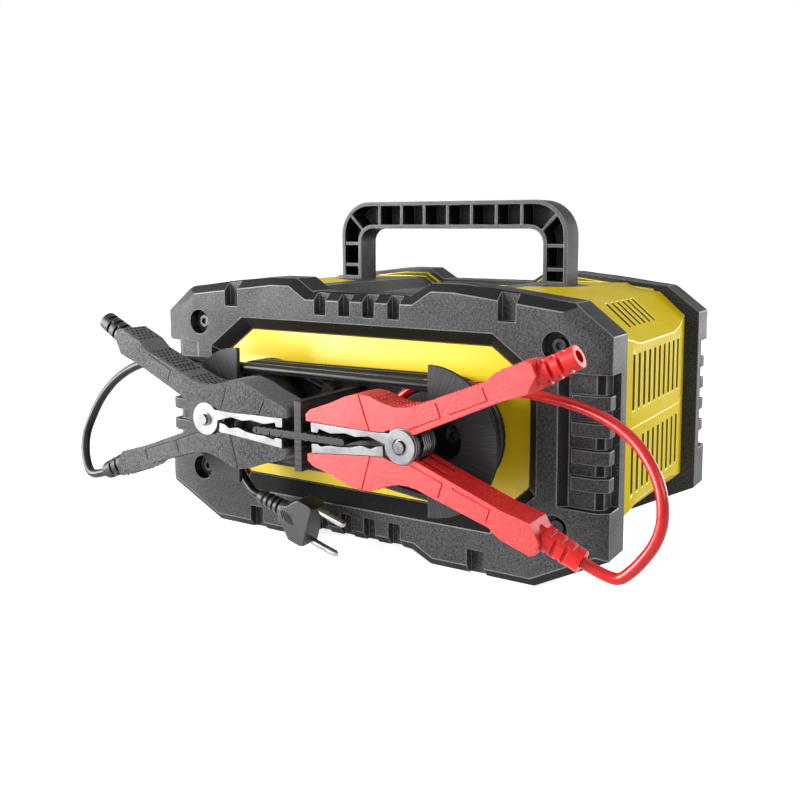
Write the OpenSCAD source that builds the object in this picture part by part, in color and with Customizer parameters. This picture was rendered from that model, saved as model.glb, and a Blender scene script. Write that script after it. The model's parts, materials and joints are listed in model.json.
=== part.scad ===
// Car battery charger in a carrying frame: two bumper frames round a louvred housing, a cable winder on
// the front and two crocodile clamps that bite a tongue on the winder. Millimetres, +X along the longest
// side, +Y from the front to the rear, +Z up, origin on the ground under the middle of the object.

/* [Body] */
// Depth from the front bumper's face to the rear bumper's face
body_d = 180; // [172:1:196]
// Depth of one bumper frame
bumper_d = 23.5; // [20:0.5:26]
// Depth of the bevel round a bumper's outer edge
bumper_bevel = 3.4; // [2:0.2:5]
// Depth of the dished inner rim of a bumper, down to the panel
rim_d = 6.5; // [5:0.5:8]
// Radius of the screw wells in a bumper
well_r = 7.5; // [6.5:0.5:8.5]
// Depth of the screw wells
well_d = 7; // [5:0.5:9]
// Height of one grip block on a bumper's side
grip_h = 7; // [5:0.5:9]
// Distance between grip blocks
grip_pitch = 13.6; // [12:0.2:15]
// Depth of the recess that the grip blocks stand in
grip_depth = 4.5; // [3.5:0.5:5.5]

/* [Housing] */
// Wall of the shells and panels
wall = 3; // [2:0.5:3.5]
// Height of the split between the lower and the upper shell
seam_z = 78; // [76:0.5:80]
// Height of the housing's flat top
top_z = 148; // [146:0.5:149]
// Height of the sunk middle of the top
sunk_z = 141.5; // [140:0.5:143]
// Half width of the housing at its widest
side_x = 143; // [141:0.5:144]
// Number of louvre slots in one group
louvre_count = 10; // [6:1:10]
// Distance between louvre slots
louvre_pitch = 8.9; // [8:0.1:9.2]
// Width of a louvre slot
louvre_w = 4.2; // [3:0.2:5]
// Height of a louvre slot
louvre_h = 30; // [22:1:31]
// Number of slots in the slanted corner
corner_slots = 6; // [4:1:7]
// Distance between slots in the slanted corner
corner_pitch = 8.6; // [8:0.1:9]
// Thickness of the black cap on top
cap_t = 2.5; // [2:0.1:3]
// Half width of the cap's middle
cap_x = 62; // [60:1:65]

/* [Handle] */
// Half width over the handle's legs
handle_x = 83; // [80:0.5:85]
// Height of the handle's top
handle_z = 200; // [190:1:215]
// Front-to-back width of the handle
handle_w = 17.9; // [15:0.1:20]
// Height of the grip bar's section
bar_h = 17.6; // [15:0.2:19]
// Width of a leg
leg_w = 15.9; // [14:0.1:17]
// Thickness of the handle's webs and rims
handle_wall = 2.6; // [2:0.2:3.2]
// Number of ribs in the grip bar
rib_count = 7; // [3:1:9]
// Distance between ribs in the grip bar
rib_pitch = 17.5; // [12:0.5:18]

/* [Winder] */
// Radius of the two hubs that the cords lie round
hub_r = 25.2; // [23:0.2:25.4]
// Half distance between the hubs
hub_x = 61; // [59:0.5:62]
// Height of the hubs' centres
hub_z = 75.4; // [74:0.2:77]
// Half distance between the centres of the D-shaped ears in front of the hubs
ear_x = 63; // [62:0.5:65]
// Radius of the ears
ear_r = 39; // [38.5:0.5:40]
// Thickness of the ears
ear_t = 2.5; // [2:0.1:3]
// Depth from the panel to the ears' front
winder_d = 34.5; // [34.5:0.5:36]
// Radius of the cup in each ear
cup_r = 11; // [9:0.5:12]
// Half thickness of the fin that carries the tongue
fin_t = 2.3; // [1.8:0.1:3]
// Half length of the tongue
tongue_x = 30; // [28:0.5:31]
// Half thickness of the tongue
tongue_t = 1.8; // [1.5:0.1:2]
// Height of the serration on the tongue
tongue_bump = 0.4; // [0.2:0.1:0.5]

/* [Clamps] */
// Width of a clamp
clamp_w = 18; // [17:0.5:19]
// Depth from the bumper's face forward to the clamps' middle
clamp_y = 44.5; // [44:0.5:46]
// Half distance between the two pivots
pivot_x = 63.5; // [63:0.5:66]
// Height of the pivots
pivot_z = 79.2; // [78:0.2:80]
// Angle of the clamps, nose down
clamp_tilt = 2; // [1:0.5:2.5]
// Radius of the pivot pins
pin_r = 3; // [2.5:0.1:3.4]
// Radius of the jaws' round ears
jaw_ear_r = 9; // [8.5:0.1:9]
// Thickness of the jaws' sheet steel
sheet = 1.6; // [1.2:0.1:1.6]
// Wire of the torsion springs
spring_wire = 1.4; // [1:0.1:1.5]
// Number of turns of a torsion spring
spring_turns = 4; // [2:1:4]
// Length of a boot
boot_len = 20; // [18:1:24]
// Radius of a boot at its root
boot_r = 6.3; // [5.5:0.1:6.6]

/* [Cords] */
// Diameter of the leads and of the mains cord
cord_d = 5.4; // [5:0.1:5.4]
// Turns of the mains cord on the winder
mains_turns = 3; // [3:1:3]
// Distance between the plug's pins, fixed by the plug's standard
plug_pitch = 18.6; // [18.6:0.1:19]
// Diameter of the plug's pins, fixed by the plug's standard
plug_pin_d = 4; // [3.9:0.05:4]
// Length of the plug's pins, fixed by the plug's standard
plug_pin_len = 19; // [18:0.5:19]

/* [Panel] */
// Radius of the two push buttons
button_r = 5.5; // [4.5:0.5:6.5]
// Travel of the push buttons
button_travel = 2; // [1:0.5:2]
// Width of the display's window
display_w = 52; // [44:1:54]
// Height of the display's window
display_h = 24; // [20:1:26]
// Radius of the fan rotor
fan_r = 26; // [22:0.5:26.5]
// Number of fan blades
fan_blades = 7; // [5:1:9]

/* [Hidden] */
$fn = 48;
black = [0.13, 0.13, 0.14];
yellow = [0.93, 0.84, 0.16];
red = [0.85, 0.06, 0.05];
steel = [0.78, 0.79, 0.80];
eps = 0.01;
gap = 0.3;          // air between parts that lie beside each other
fit = 0.05;         // running fit of a pin in its hole, on the radius
// everything below is drawn from the front bumper's face and moved back by front_y
front_y = -(body_d - (clamp_y + clamp_w / 2 + 2.5)) / 2;
mid_y = body_d / 2;

// Half outlines, from the top middle round to the bottom middle, seen from the front
face_half = [[36, 142], [48.6, 149.5], [63.6, 149.5], [122.2, 142], [141.6, 128.5],
             [141.6, 21.9], [106.4, 4.7], [49, 4.7], [36.9, 11.1]];
edge_half = [[34, 146.6], [45.6, 154], [65.5, 154], [127.9, 146.7], [148, 131.1],
             [148, 20], [108.2, 0], [46, 0], [34, 6.4]];
mouth_half = [[84.6, 129.6], [109.8, 111], [109.8, 48.5], [84, 24.5]];
nose_half = [[81.4, 122.3], [103.5, 106], [103.5, 50], [85.2, 33]];
edge_x = edge_half[4][0];
face_x = face_half[4][0];

// Screw places, shared by wells, screws, panel bosses
bumper_screws = [[119.5, 125], [-119.5, 125], [119.5, 32.5], [-119.5, 32.5]];
screw_r = 2;
nose_gap = 0.3;

function both(half) = concat([for (p = half) p],
                             [for (i = [len(half) - 1 : -1 : 0]) [-half[i][0], half[i][1]]]);
function unit(v) = v / norm(v);
// Outline moved inward by w, corners mitred; the outline runs clockwise seen from the front
function inset(pts, w) = [for (i = [0 : len(pts) - 1])
    let (n = len(pts), a = pts[(i + n - 1) % n], b = pts[i], c = pts[(i + 1) % n],
         p = unit(b - a), q = unit(c - b), m = [p[1], -p[0]], k = [q[1], -q[0]])
    b + w * (m + k) / (1 + m * k)];

// Solid through outlines of equal length, each given as [y, points]
module loft(stations) {
    n = len(stations[0][1]);
    last = len(stations) - 1;
    polyhedron(
        points = [for (s = stations) for (p = s[1]) [p[0], s[0], p[1]]],
        faces = concat(
            [[for (i = [0 : n - 1]) i]],
            [for (k = [0 : last - 1]) for (i = [0 : n - 1]) each [
                [k * n + i, (k + 1) * n + i, k * n + (i + 1) % n],
                [k * n + (i + 1) % n, (k + 1) * n + i, (k + 1) * n + (i + 1) % n]]],
            [[for (i = [n - 1 : -1 : 0]) last * n + i]]));
}
// Plate or prism with an outline in the x-z plane, from y0 back to y1
module prism(pts, y0, y1) {
    translate([0, y1, 0]) rotate([90, 0, 0]) linear_extrude(y1 - y0) polygon(pts);
}
module bar(lo, hi) {
    translate(lo) cube(hi - lo);
}
module rod(p, r, len, fn = 32) {
    translate(p) rotate([-90, 0, 0]) cylinder(r = r, h = len, $fn = fn);
}
module sides() {
    children();
    mirror([1, 0, 0]) children();
}
module rear() {
    translate([0, body_d, 0]) mirror([0, 1, 0]) children();
}
module place() {
    translate([0, front_y, 0]) children();
}

// ---- tubes ----
function ring(p, t, r, n) = let (a = unit(cross(t, [0, 1, 0])), b = cross(a, t))
    [for (i = [0 : n - 1]) p + r * (cos(360 * (i + 0.5) / n) * b + sin(360 * (i + 0.5) / n) * a)];
function heading(pts, i) = unit(pts[min(i + 1, len(pts) - 1)] - pts[i] == [0, 0, 0]
    ? pts[i] - pts[i - 1]
    : unit(pts[min(i + 1, len(pts) - 1)] - pts[i]) + (i == 0 ? [0, 0, 0] : unit(pts[i] - pts[i - 1])));
module tube(pts, d, n) {
    last = len(pts) - 1;
    polyhedron(
        points = [for (i = [0 : last]) each ring(pts[i], heading(pts, i), d / 2, n)],
        faces = concat(
            [[for (i = [0 : n - 1]) i]],
            [for (k = [0 : last - 1]) for (i = [0 : n - 1]) each [
                [k * n + i, (k + 1) * n + i, k * n + (i + 1) % n],
                [k * n + (i + 1) % n, (k + 1) * n + i, (k + 1) * n + (i + 1) % n]]],
            [[for (i = [n - 1 : -1 : 0]) last * n + i]]));
}
function from_line(p, a, b) = let (s = max(0, min(1, (p - a) * (b - a) / ((b - a) * (b - a)))))
    norm(p - a - s * (b - a));
// Least air between a tube's turns, measured from each point to every later stretch of the tube
function self_gap(pts, d, skip) = min([for (i = [0 : len(pts) - 1]) for (k = [i + skip : 1 : len(pts) - 2])
    from_line(pts[i], pts[k], pts[k + 1])]) - d;

// ---- bumpers ----
notch_x = [[-29.3, -21.4], [-12.3, -4.7], [4.1, 11.8], [20.6, 28.2]];
notch_d = 5.2;
grip_rim = 7.6;
top_bevel = bumper_bevel + 1.8;
module grip_recess(y0, y1) {
    z0 = 44.5;
    z1 = z0 + 5 * grip_pitch;
    points = [[120, y0 - 1], [121 + grip_depth, y0 + grip_depth],
              [face_x - 2, y0 + grip_depth], [edge_x - grip_depth, y0 + grip_depth + 2.5],
              [edge_x - grip_depth, y1], [edge_x + 1, y1], [edge_x + 1, y0 - 1]];
    translate([0, 0, z0]) linear_extrude(z1 - z0) polygon(points);
}
module grip_blocks(y0, y1) {
    points = [[125.7, y0 + grip_depth + 0.5], [128, y0 + 1], [face_x - 0.7, y0 + 1],
              [edge_x - 1, y0 + bumper_bevel + 0.9], [edge_x - 1, y1], [edge_x - grip_depth - 1, y1],
              [edge_x - grip_depth - 1, y0 + grip_depth + 2.5], [face_x - 2, y0 + grip_depth + 0.5]];
    for (i = [0 : 3]) translate([0, 0, 57.7 - grip_h / 2 + i * grip_pitch]) linear_extrude(grip_h)
        polygon(points);
}
// Cuts the edge of an outline from a to b at a slant that is w deep at y = 0 and ends at y = d
module slant(a, b, w, d) {
    k = w / d;
    u = unit(b - a);
    translate([a[0], 0, a[1]]) rotate([0, -atan2(u[1], u[0]), 0]) translate([-20, 0, 0])
        rotate([90, 0, 90]) linear_extrude(norm(b - a) + 40) polygon([[-1, -w - k], [d + 1, k], [-1, k]]);
}
// Distance of point p inside the outline's edge from a to b
function inside(p, a, b) = let (u = unit(b - a)) (p - a) * [u[1], -u[0]];
bevel_step = 0.2; // neighbouring edges are bevelled to depths this far apart
// The raised side of a bumper, carried on past its steps into the sunk middle
module raised_side() {
    last = len(edge_half) - 1;
    a = edge_half[0] - 1.2 * (edge_half[1] - edge_half[0]);
    b = edge_half[last] + 1.2 * (edge_half[last] - edge_half[last - 1]);
    difference() {
        prism(concat([a], [for (i = [1 : last - 1]) edge_half[i]], [b]), 0, bumper_d);
        for (i = [0 : last - 1]) slant(edge_half[i], edge_half[i + 1],
            inside((face_half[i] + face_half[i + 1]) / 2, edge_half[i], edge_half[i + 1]),
            (i < 3 ? top_bevel : bumper_bevel) + bevel_step * (i % 2));
    }
}
module sunk_middle() {
    top = edge_half[0][1];
    low = edge_half[len(edge_half) - 1][1];
    difference() {
        bar([-40, 0, low], [40, bumper_d, top]);
        slant([-40, top], [40, top], top - face_half[0][1], top_bevel + bevel_step);
        slant([40, low], [-40, low], face_half[len(face_half) - 1][1] - low, bumper_bevel);
    }
}
// The dished opening, from the mouth back to the nose outline and through
module opening() {
    mouth = both(mouth_half);
    nose = both(nose_half);
    n = len(mouth);
    prism(nose, -1, bumper_d + 1);
    difference() {
        prism(inset(mouth, -1.5), -1, rim_d + 0.5);
        for (i = [0 : n - 1]) let (w = inside((nose[i] + nose[(i + 1) % n]) / 2, mouth[i], mouth[(i + 1) % n]),
                                   k = w / rim_d, u = unit(mouth[(i + 1) % n] - mouth[i]))
            translate([mouth[i][0], 0, mouth[i][1]]) rotate([0, -atan2(u[1], u[0]), 0]) translate([-20, 0, 0])
                rotate([90, 0, 90]) linear_extrude(norm(mouth[(i + 1) % n] - mouth[i]) + 40)
                    polygon([[-2, 2 * k], [rim_d + 1, -w - k], [rim_d + 1, 4], [-2, 4]]);
    }
}
module bumper() {
    difference() {
        union() {
            sides() raised_side();
            sunk_middle();
        }
        opening();
        // notches of the sunk edges, top and bottom
        for (n = notch_x) {
            bar([n[0], -1, 133.7], [n[1], notch_d, 160]);
            bar([n[0], -1, -5], [n[1], notch_d, 19.8]);
        }
        // notches of the raised edges
        sides() bar([87.6, -1, 136], [97.6, notch_d, 160]);
        sides() bar([70.4, -1, -5], [80.4, notch_d, 13.8]);
        sides() grip_recess(0, bumper_d - grip_rim);
        for (p = bumper_screws) {
            rod([p[0], -1, p[1]], well_r, well_d + 1, 48);
            rod([p[0], -1, p[1]], screw_r + 0.2, bumper_d + 2);
        }
    }
    sides() grip_blocks(0, bumper_d - grip_rim - 5);
}
module front_bumper() color(black) place() bumper();
module rear_bumper() color(black) place() rear() bumper();
module bumper_screw_set() {
    for (p = bumper_screws) difference() {
        union() {
            rod([p[0], well_d - 2.6, p[1]], 3.8, 2.6);
            rod([p[0], well_d - eps, p[1]], screw_r, bumper_d + 8 - well_d);
        }
        rod([p[0], well_d - 3, p[1]], 1.9, 1.9, 6);
    }
}
module front_bumper_screws() color(steel) place() bumper_screw_set();
module rear_bumper_screws() color(steel) place() rear() bumper_screw_set();

// ---- housing ----
// Half outline of the housing at distance t from its middle
flare_t = 30.5;
blend_t = 43;
waist_t = 64;
end_t = mid_y - bumper_d;
function flare(t) = max(0, min(1, (abs(t) - flare_t) / (waist_t - flare_t)));
function side_at(t) = side_x - 4 * max(0, (abs(t) - blend_t) / (end_t - blend_t));
function shell_half(t) = let (f = flare(t), s = side_at(t)) [
    [37, sunk_z], [48, top_z], [102, top_z], [106, top_z - 2.3], [119 + 4 * f, top_z - 5.5 + 0.5 * f],
    [s, 122 + 6.8 * f], [s, 36 - 7 * f], [s - 4.5, 31.5 - 6.8 * f], [119, 12], [112, 10], [37, 10]];
stations = [-end_t, -waist_t, -blend_t, -flare_t, flare_t, blend_t, waist_t, end_t];
function cavity(t, w) = [for (p = inset(both(shell_half(t)), w)) [p[0], p[1] - (p[1] > 125 ? cap_t : 0)]];
module housing_solid() {
    loft([for (t = stations) [mid_y + t, both(shell_half(t))]]);
}
module housing_cavity(w) {
    loft([for (t = stations) [mid_y + t * (1 + eps), cavity(t, w)]]);
}
module top_rim() {
    rim = inset([for (p = both(edge_half)) p], 3);
    intersection() {
        prism(rim, bumper_d, bumper_d + 3.5);
        sides() bar([-1, 0, 139.5], [119, mid_y, 160]);
    }
}
module cap_plan(grow) {
    offset_x = cap_x + grow;
    polygon([for (s = [1, -1]) each
        let (half = [[offset_x, bumper_d + 3.5 + gap - grow], [offset_x, 88 - grow], [84 + grow, 98 - grow],
                     [95.3 + grow, mid_y + 20], [84 + grow, mid_y + 35 + grow], [70 + grow, mid_y + 50 + grow],
                     [offset_x, mid_y + 52 + grow], [offset_x, body_d - bumper_d - 3.5 - gap + grow]])
        s == 1 ? half : [for (i = [len(half) - 1 : -1 : 0]) [-half[i][0], half[i][1]]]]);
}
module top_layer(low, high) {
    profile = [[-110, top_z], [-48, top_z], [-37, sunk_z], [37, sunk_z], [48, top_z], [110, top_z]];
    prism(concat([for (p = profile) [p[0], p[1] + high]],
                 [for (i = [5 : -1 : 0]) [profile[i][0], profile[i][1] - low]]), 0, body_d);
}
module cap_body(grow, low, high) {
    intersection() {
        translate([0, 0, 100]) linear_extrude(80) cap_plan(grow);
        top_layer(low, high);
    }
}
louvre_z = [seam_z + 9, seam_z - 6.5 - louvre_h];
module louvres(z0) {
    start = mid_y - louvre_pitch * (louvre_count - 1) / 2;
    sides() for (i = [0 : louvre_count - 1])
        bar([side_x - 12, start + i * louvre_pitch - louvre_w / 2, z0],
            [side_x + 5, start + i * louvre_pitch + louvre_w / 2, z0 + louvre_h]);
}
module corner_louvres() {
    start = mid_y - corner_pitch * (corner_slots - 1) / 2;
    slope = atan2(20.5, side_x - 119);
    sides() translate([119, 0, top_z - 5.5]) rotate([0, slope, 0]) for (i = [0 : corner_slots - 1])
        bar([1.4, start + i * corner_pitch - 2, -9], [20, start + i * corner_pitch + 2, 5]);
}
foot_x = handle_x - leg_w / 2;
foot_y = mid_y + 10.9 + handle_w / 2;
peg_r = 4.5;
peg_len = 12;
module shell_body() {
    difference() {
        union() {
            difference() {
                housing_solid();
                housing_cavity(wall);
            }
            difference() {
                union() {
                    top_rim();
                    rear() top_rim();
                }
                loft([for (t = stations) [mid_y + t * (1 + eps), inset(both(shell_half(t)), wall / 2)]]);
            }
        }
        cap_body(0.15, cap_t, 5);
        corner_louvres();
    }
}
module upper_shell() color(yellow) place() {
    difference() {
        union() {
            intersection() {
                shell_body();
                bar([-side_x - 10, 0, seam_z], [side_x + 10, body_d, top_z + 10]);
            }
            // pads under the handle's feet
            for (s = [-1, 1]) translate([s * foot_x, foot_y, top_z - cap_t - peg_len])
                cylinder(r = peg_r + 3, h = peg_len - wall);
        }
        louvres(louvre_z[0]);
        for (s = [-1, 1]) translate([s * foot_x, foot_y, 100]) cylinder(r = peg_r + 0.1, h = 60);
    }
}
post_z = 30;
posts = [for (x = [88, -88], y = [mid_y - 38, mid_y + 38]) [x, y]];
fan_x = -(side_x - wall - 5);
fan_z = seam_z + 0.5;
fan_half = fan_r + 4;
fan_t = 13;
module lower_shell() color([0.80, 0.72, 0.14]) place() {
    difference() {
        union() {
            intersection() {
                shell_body();
                bar([-side_x - 10, 0, 0], [side_x + 10, body_d, seam_z - 0.1]);
            }
            for (p = posts) translate([p[0], p[1], 11]) cylinder(r = 4.5, h = post_z - 11);
            // shelf that the fan stands on
            bar([-side_x + wall - 1, mid_y - fan_half, fan_z - fan_half - gap - 3],
                [fan_x + fan_t + 3, mid_y + fan_half, fan_z - fan_half - gap]);
        }
        louvres(louvre_z[1]);
        for (p = posts) translate([p[0], p[1], 14]) cylinder(r = 1.6, h = 30);
    }
}
module panel() {
    nose = inset(both(nose_half), nose_gap);
    flange = inset(cavity(end_t, wall), 0.4);
    difference() {
        union() {
            prism(nose, rim_d, bumper_d + eps);
            prism(flange, bumper_d, bumper_d + wall);
            for (p = bumper_screws) rod([p[0], bumper_d, p[1]], 5, 10);
        }
        prism(inset(nose, wall), rim_d + wall, bumper_d + 20);
        for (p = bumper_screws) rod([p[0], bumper_d - 1, p[1]], screw_r + fit, 20);
    }
}
cup_x = hub_x + 10;
cup_z = hub_z + 3;
module front_panel() color(yellow) place() difference() {
    union() {
        panel();
        sides() rod([cup_x, rim_d + wall - eps, cup_z], 6, 6);
    }
    sides() rod([cup_x, 0, cup_z], screw_r + fit, 20);
}
module top_cap() color(black) place() difference() {
    cap_body(0, cap_t - 0.1, 0);
    for (s = [-1, 1]) translate([s * foot_x, foot_y, 100]) cylinder(r = peg_r + 0.1, h = 60);
}

// ---- handle ----
module rounded_top(x, z0, z1, r) intersection() {
    union() {
        translate([-x, z0]) square([2 * x, z1 - r - z0]);
        translate([-x + r, z0]) square([2 * (x - r), z1 - z0]);
        for (s = [-1, 1]) translate([s * (x - r), z1 - r]) circle(r);
    }
    translate([-x, z0]) square([2 * x, z1 - z0]);
}
module upright(y0, y1) {
    translate([0, y1, 0]) rotate([90, 0, 0]) linear_extrude(y1 - y0) children();
}
module handle() color(black) place() {
    y0 = foot_y - handle_w / 2;
    y1 = foot_y + handle_w / 2;
    corner = 22;
    inner = 9;
    w = handle_wall;
    leg_in = handle_x - leg_w;
    bar_z = handle_z - bar_h;
    difference() {
        upright(y0, y1) difference() {
            rounded_top(handle_x, top_z, handle_z, corner);
            rounded_top(leg_in, top_z - 1, bar_z, inner);
        }
        difference() {
            upright(y0 - 1, y1 - w) difference() {
                rounded_top(handle_x - w, top_z + w, handle_z - w, corner - w);
                rounded_top(leg_in + w, top_z - 1, bar_z + w, inner + w);
            }
            // ribs of the grip bar
            for (i = [0 : rib_count - 1]) {
                x = (i - (rib_count - 1) / 2) * rib_pitch;
                bar([x - 1.1, y0 + 0.6, bar_z], [x + 1.1, y1, handle_z]);
            }
            // slanted ribs in the corners, level ribs in the legs
            sides() translate([leg_in + 2, 0, bar_z + 2]) rotate([0, -45, 0])
                bar([-4, y0 + 0.6, -1.1], [26, y1, 1.1]);
            for (z = [top_z + 9.8, top_z + 24.2]) sides() bar([leg_in, y0 + 0.6, z - 1.1], [handle_x, y1, z + 1.1]);
        }
    }
    for (s = [-1, 1]) translate([s * foot_x, foot_y, top_z - peg_len]) difference() {
        cylinder(r = peg_r, h = peg_len + 1);
        translate([0, 0, -1]) cylinder(r = 1.6, h = peg_len);
    }
}
module handle_screws() color(steel) place() {
    z0 = top_z - cap_t - peg_len;
    for (s = [-1, 1]) translate([s * foot_x, foot_y, z0]) {
        translate([0, 0, -3]) cylinder(r = 6.5, h = 3);
        cylinder(r = 1.55, h = peg_len);
    }
}

// ---- winder ----
plate_t = 2.9;
cup_depth = 15;
plate_y = rim_d - plate_t;
ear_y = rim_d - winder_d;
cord_r = cord_d / 2;
slot_black = ear_y + ear_t + gap + cord_r;
slot_red = slot_black + cord_d + gap;
slot_mains = plate_y - 0.2 - cord_r;
mains_pitch = (slot_mains - (slot_red + cord_d + gap)) / (mains_turns - 1);
module ear(y0, y1) {
    intersection() {
        rod([ear_x, y0, hub_z + 1], ear_r, y1 - y0, 96);
        bar([ear_x, y0 - 1, 0], [ear_x + 60, y1 + 1, 200]);
    }
}
module cable_winder() color(black) place() {
    sides() difference() {
        union() {
            ear(ear_y, ear_y + ear_t);
            rod([hub_x, ear_y + eps, hub_z], hub_r, plate_y - ear_y, 64);
        }
        rod([cup_x, ear_y - 1, cup_z], cup_r, cup_depth + 1, 64);
        rod([cup_x, ear_y - 1, cup_z], screw_r + 0.2, 60);
        // the hub steps back beside the ear's straight edge
        bar([0, ear_y - 1, 0], [ear_x, slot_red - cord_r - gap, 200]);
    }
    difference() {
        prism(both([[hub_x + 8, 101], [hub_x + 18, 93], [hub_x + 18, 51], [hub_x + 8, 43]]), plate_y, rim_d);
        sides() rod([cup_x, 0, cup_z], screw_r + 0.2, 60);
        for (x = [-8, 8]) rod([x, 0, 65], 1.25, 20);
        for (x = [-8, 8]) rod([x, 0, 88], 1.25, 20);
    }
}
module winder_screws() color(steel) place() sides() {
    seat = ear_y + cup_depth;
    difference() {
        union() {
            rod([cup_x, seat - 3, cup_z], 4.2, 3);
            rod([cup_x, seat - eps, cup_z], screw_r, rim_d + wall + 5 - seat);
        }
        rod([cup_x, seat - 4, cup_z], 2, 2.5, 6);
    }
}
tongue_y = clamp_y - 8.7;
module clamp_holder() color(black) place() {
    fin = [-(clamp_y + 8), plate_y];
    bar([-fin_t, fin[0], 58.2], [fin_t, fin[1], 95]);
    // foot of the fin, with its four fixing pegs
    bar([-12, plate_y - 3, 60.5], [12, plate_y, 92.7]);
    for (x = [-8, 8]) for (z = [65, 88]) rod([x, plate_y - eps, z], 1.2, plate_t - 0.3);
    // the tongue that both clamps bite
    tz = 77;
    bar([-tongue_x + tongue_t, -(clamp_y + 8.7), tz - tongue_t], [tongue_x - tongue_t, -tongue_y, tz + tongue_t]);
    for (s = [-1, 1]) rod([s * (tongue_x - tongue_t), -(clamp_y + 8.7), tz], tongue_t, 17.4);
    for (s = [-1, 1]) for (x = [fin_t + 3.5 : 4 : tongue_x - 3])
        rod([s * x, -(clamp_y + 8.7), tz + tongue_t - 0.8], 0.8 + tongue_bump, 17.4, 16);
    for (s = [-1, 1]) for (x = [fin_t + 3.5 : 4 : tongue_x - 3])
        rod([s * x, -(clamp_y + 8.7), tz - tongue_t + 0.8], 0.8 + tongue_bump, 17.4, 16);
}

// ---- cords on the winder ----
wind_r = hub_r + cord_r + 0.6;
loop_steps = 11;
function on_hub(s, a) = [s * hub_x + wind_r * cos(a), 0, hub_z + wind_r * sin(a)];
// Angle at which a straight line from p touches the winding circle of hub s, side = 1 or -1
function touch(p, s, side) = let (v = [p[0] - s * hub_x, p[1] - hub_z])
    atan2(v[1], v[0]) + side * acos(wind_r / norm(v));
black_start = [-24, 57];
mains_start = [-22, 92];
black_touch = touch(black_start, 1, 1) + 360;
black_turns = concat(
    [[black_start[0], 0, black_start[1]]],
    [[black_start[0], 0, black_start[1]] + cord_d * unit(on_hub(1, black_touch)
        - [black_start[0], 0, black_start[1]])],
    [for (i = [0 : loop_steps]) on_hub(1, black_touch + (450 - black_touch) * i / loop_steps)],
    [[-50, 0, hub_z + wind_r], [-60, 0, hub_z + wind_r]]);
black_path = [for (p = black_turns) p + [0, slot_black, 0]];
red_turns = concat(
    [[hub_x - wind_r, 0, hub_z - 15], [hub_x - wind_r, 0, hub_z - 15 + cord_d]],
    [for (i = [0 : loop_steps]) on_hub(1, 180 - 90 * i / loop_steps)],
    [[hub_x + 10, 0, hub_z + wind_r]]);
red_path = [for (p = red_turns) p + [0, slot_red, 0]];
mains_touch = touch(mains_start, -1, 1);
mains_leave = 200;          // angle on the left hub at which the mains cord leaves the winder
// One turn: the bottom run, the right hub, the top run, which crosses to the next slot, and the left hub
function mains_turn(k, last) = concat(
    [for (i = [0 : loop_steps]) on_hub(1, -90 + 180 * i / loop_steps) + [0, slot_mains - k * mains_pitch, 0]],
    [[-40, slot_mains - (k + 1) * mains_pitch, hub_z + wind_r]],
    [for (i = [0 : loop_steps]) on_hub(-1, 90 + (last - 90) * i / loop_steps)
        + [0, slot_mains - (k + 1) * mains_pitch, 0]]);
mains_mouth = [mains_start[0], slot_mains, mains_start[1]];
mains_lift = on_hub(-1, mains_touch) + [0, slot_mains, 0];
mains_last = on_hub(-1, mains_leave) + [0, slot_mains - (mains_turns - 1) * mains_pitch, 0];
mains_out = [-sin(mains_leave), 0, cos(mains_leave)];
mains_path = concat(
    [mains_mouth, mains_mouth + cord_d * unit(mains_lift - mains_mouth)],
    [for (i = [0 : loop_steps]) on_hub(-1, mains_touch + (270 - mains_touch) * i / loop_steps)
        + [0, slot_mains, 0]],
    [for (k = [0 : mains_turns - 2]) each mains_turn(k, k == mains_turns - 2 ? mains_leave : 270)],
    [mains_last + cord_d * mains_out]);
mains_end = len(mains_path) - 1;
module black_winding() color(black) place() tube(black_path, cord_d, 6);
module red_winding() color(red) place() tube(red_path, cord_d, 6);
module mains_winding() color(black) place() tube(mains_path, cord_d, 6);
echo(mains_winding_gap = self_gap(mains_path, cord_d, 8));
// Block on the winder's plate that a cord comes out of, its mouth at p and its cord heading towards q
module gland(p, q, y) {
    heading_angle = atan2(q[2] - p[2], q[0] - p[0]);
    size = cord_r + 1.6;
    translate([p[0], 0, p[2]]) rotate([0, -heading_angle, 0])
        bar([-8, y - size, -size], [0, plate_y, size]);
}
module lead_glands() color(black) place() {
    gland(black_path[0], black_path[1], slot_black + 1.3);
    gland(red_path[0], red_path[1], slot_red + 1.3);
    gland(mains_path[0], mains_path[1], slot_mains);
}

// ---- free cords: x, depth behind the bumper's face, z; chosen points ----
red_route = [[100, -17, 105.3], [112, -18, 104.4], [124, -19.5, 103.4], [137, -22, 102], [150, -25, 99.4],
             [161, -28, 95.6], [171, -31.5, 90], [179, -36, 83], [184.5, -40, 75.5], [187.5, -43, 67.5],
             [187.8, -44.5, 59], [185, -45, 50.5], [180, -45, 42.5], [174.5, -45, 36], [169, -44.6, 32]];
black_route = [[-82, -22.3, 104.4], [-94, -22.6, 104.6], [-106, -24, 104.6], [-120, -25.8, 104],
               [-135, -27.5, 102], [-148, -28.5, 97.5], [-159, -29.5, 91.2], [-168, -30.5, 83.5],
               [-175, -32, 74.5], [-179.5, -34, 65], [-181.5, -37, 55.5], [-180, -40, 46.5],
               [-175.5, -42.8, 38], [-169.5, -44.3, 32.3]];
mains_route = [[-81.3, -12.4, 49.7], [-77.5, -13.2, 43.2], [-72.9, -14.4, 37.4], [-67, -15.9, 32.5]];
boot_angle = 26;
boot_root = [69.8, 37];
boot_mouth = boot_root + boot_len * [cos(boot_angle), sin(boot_angle)];
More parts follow.
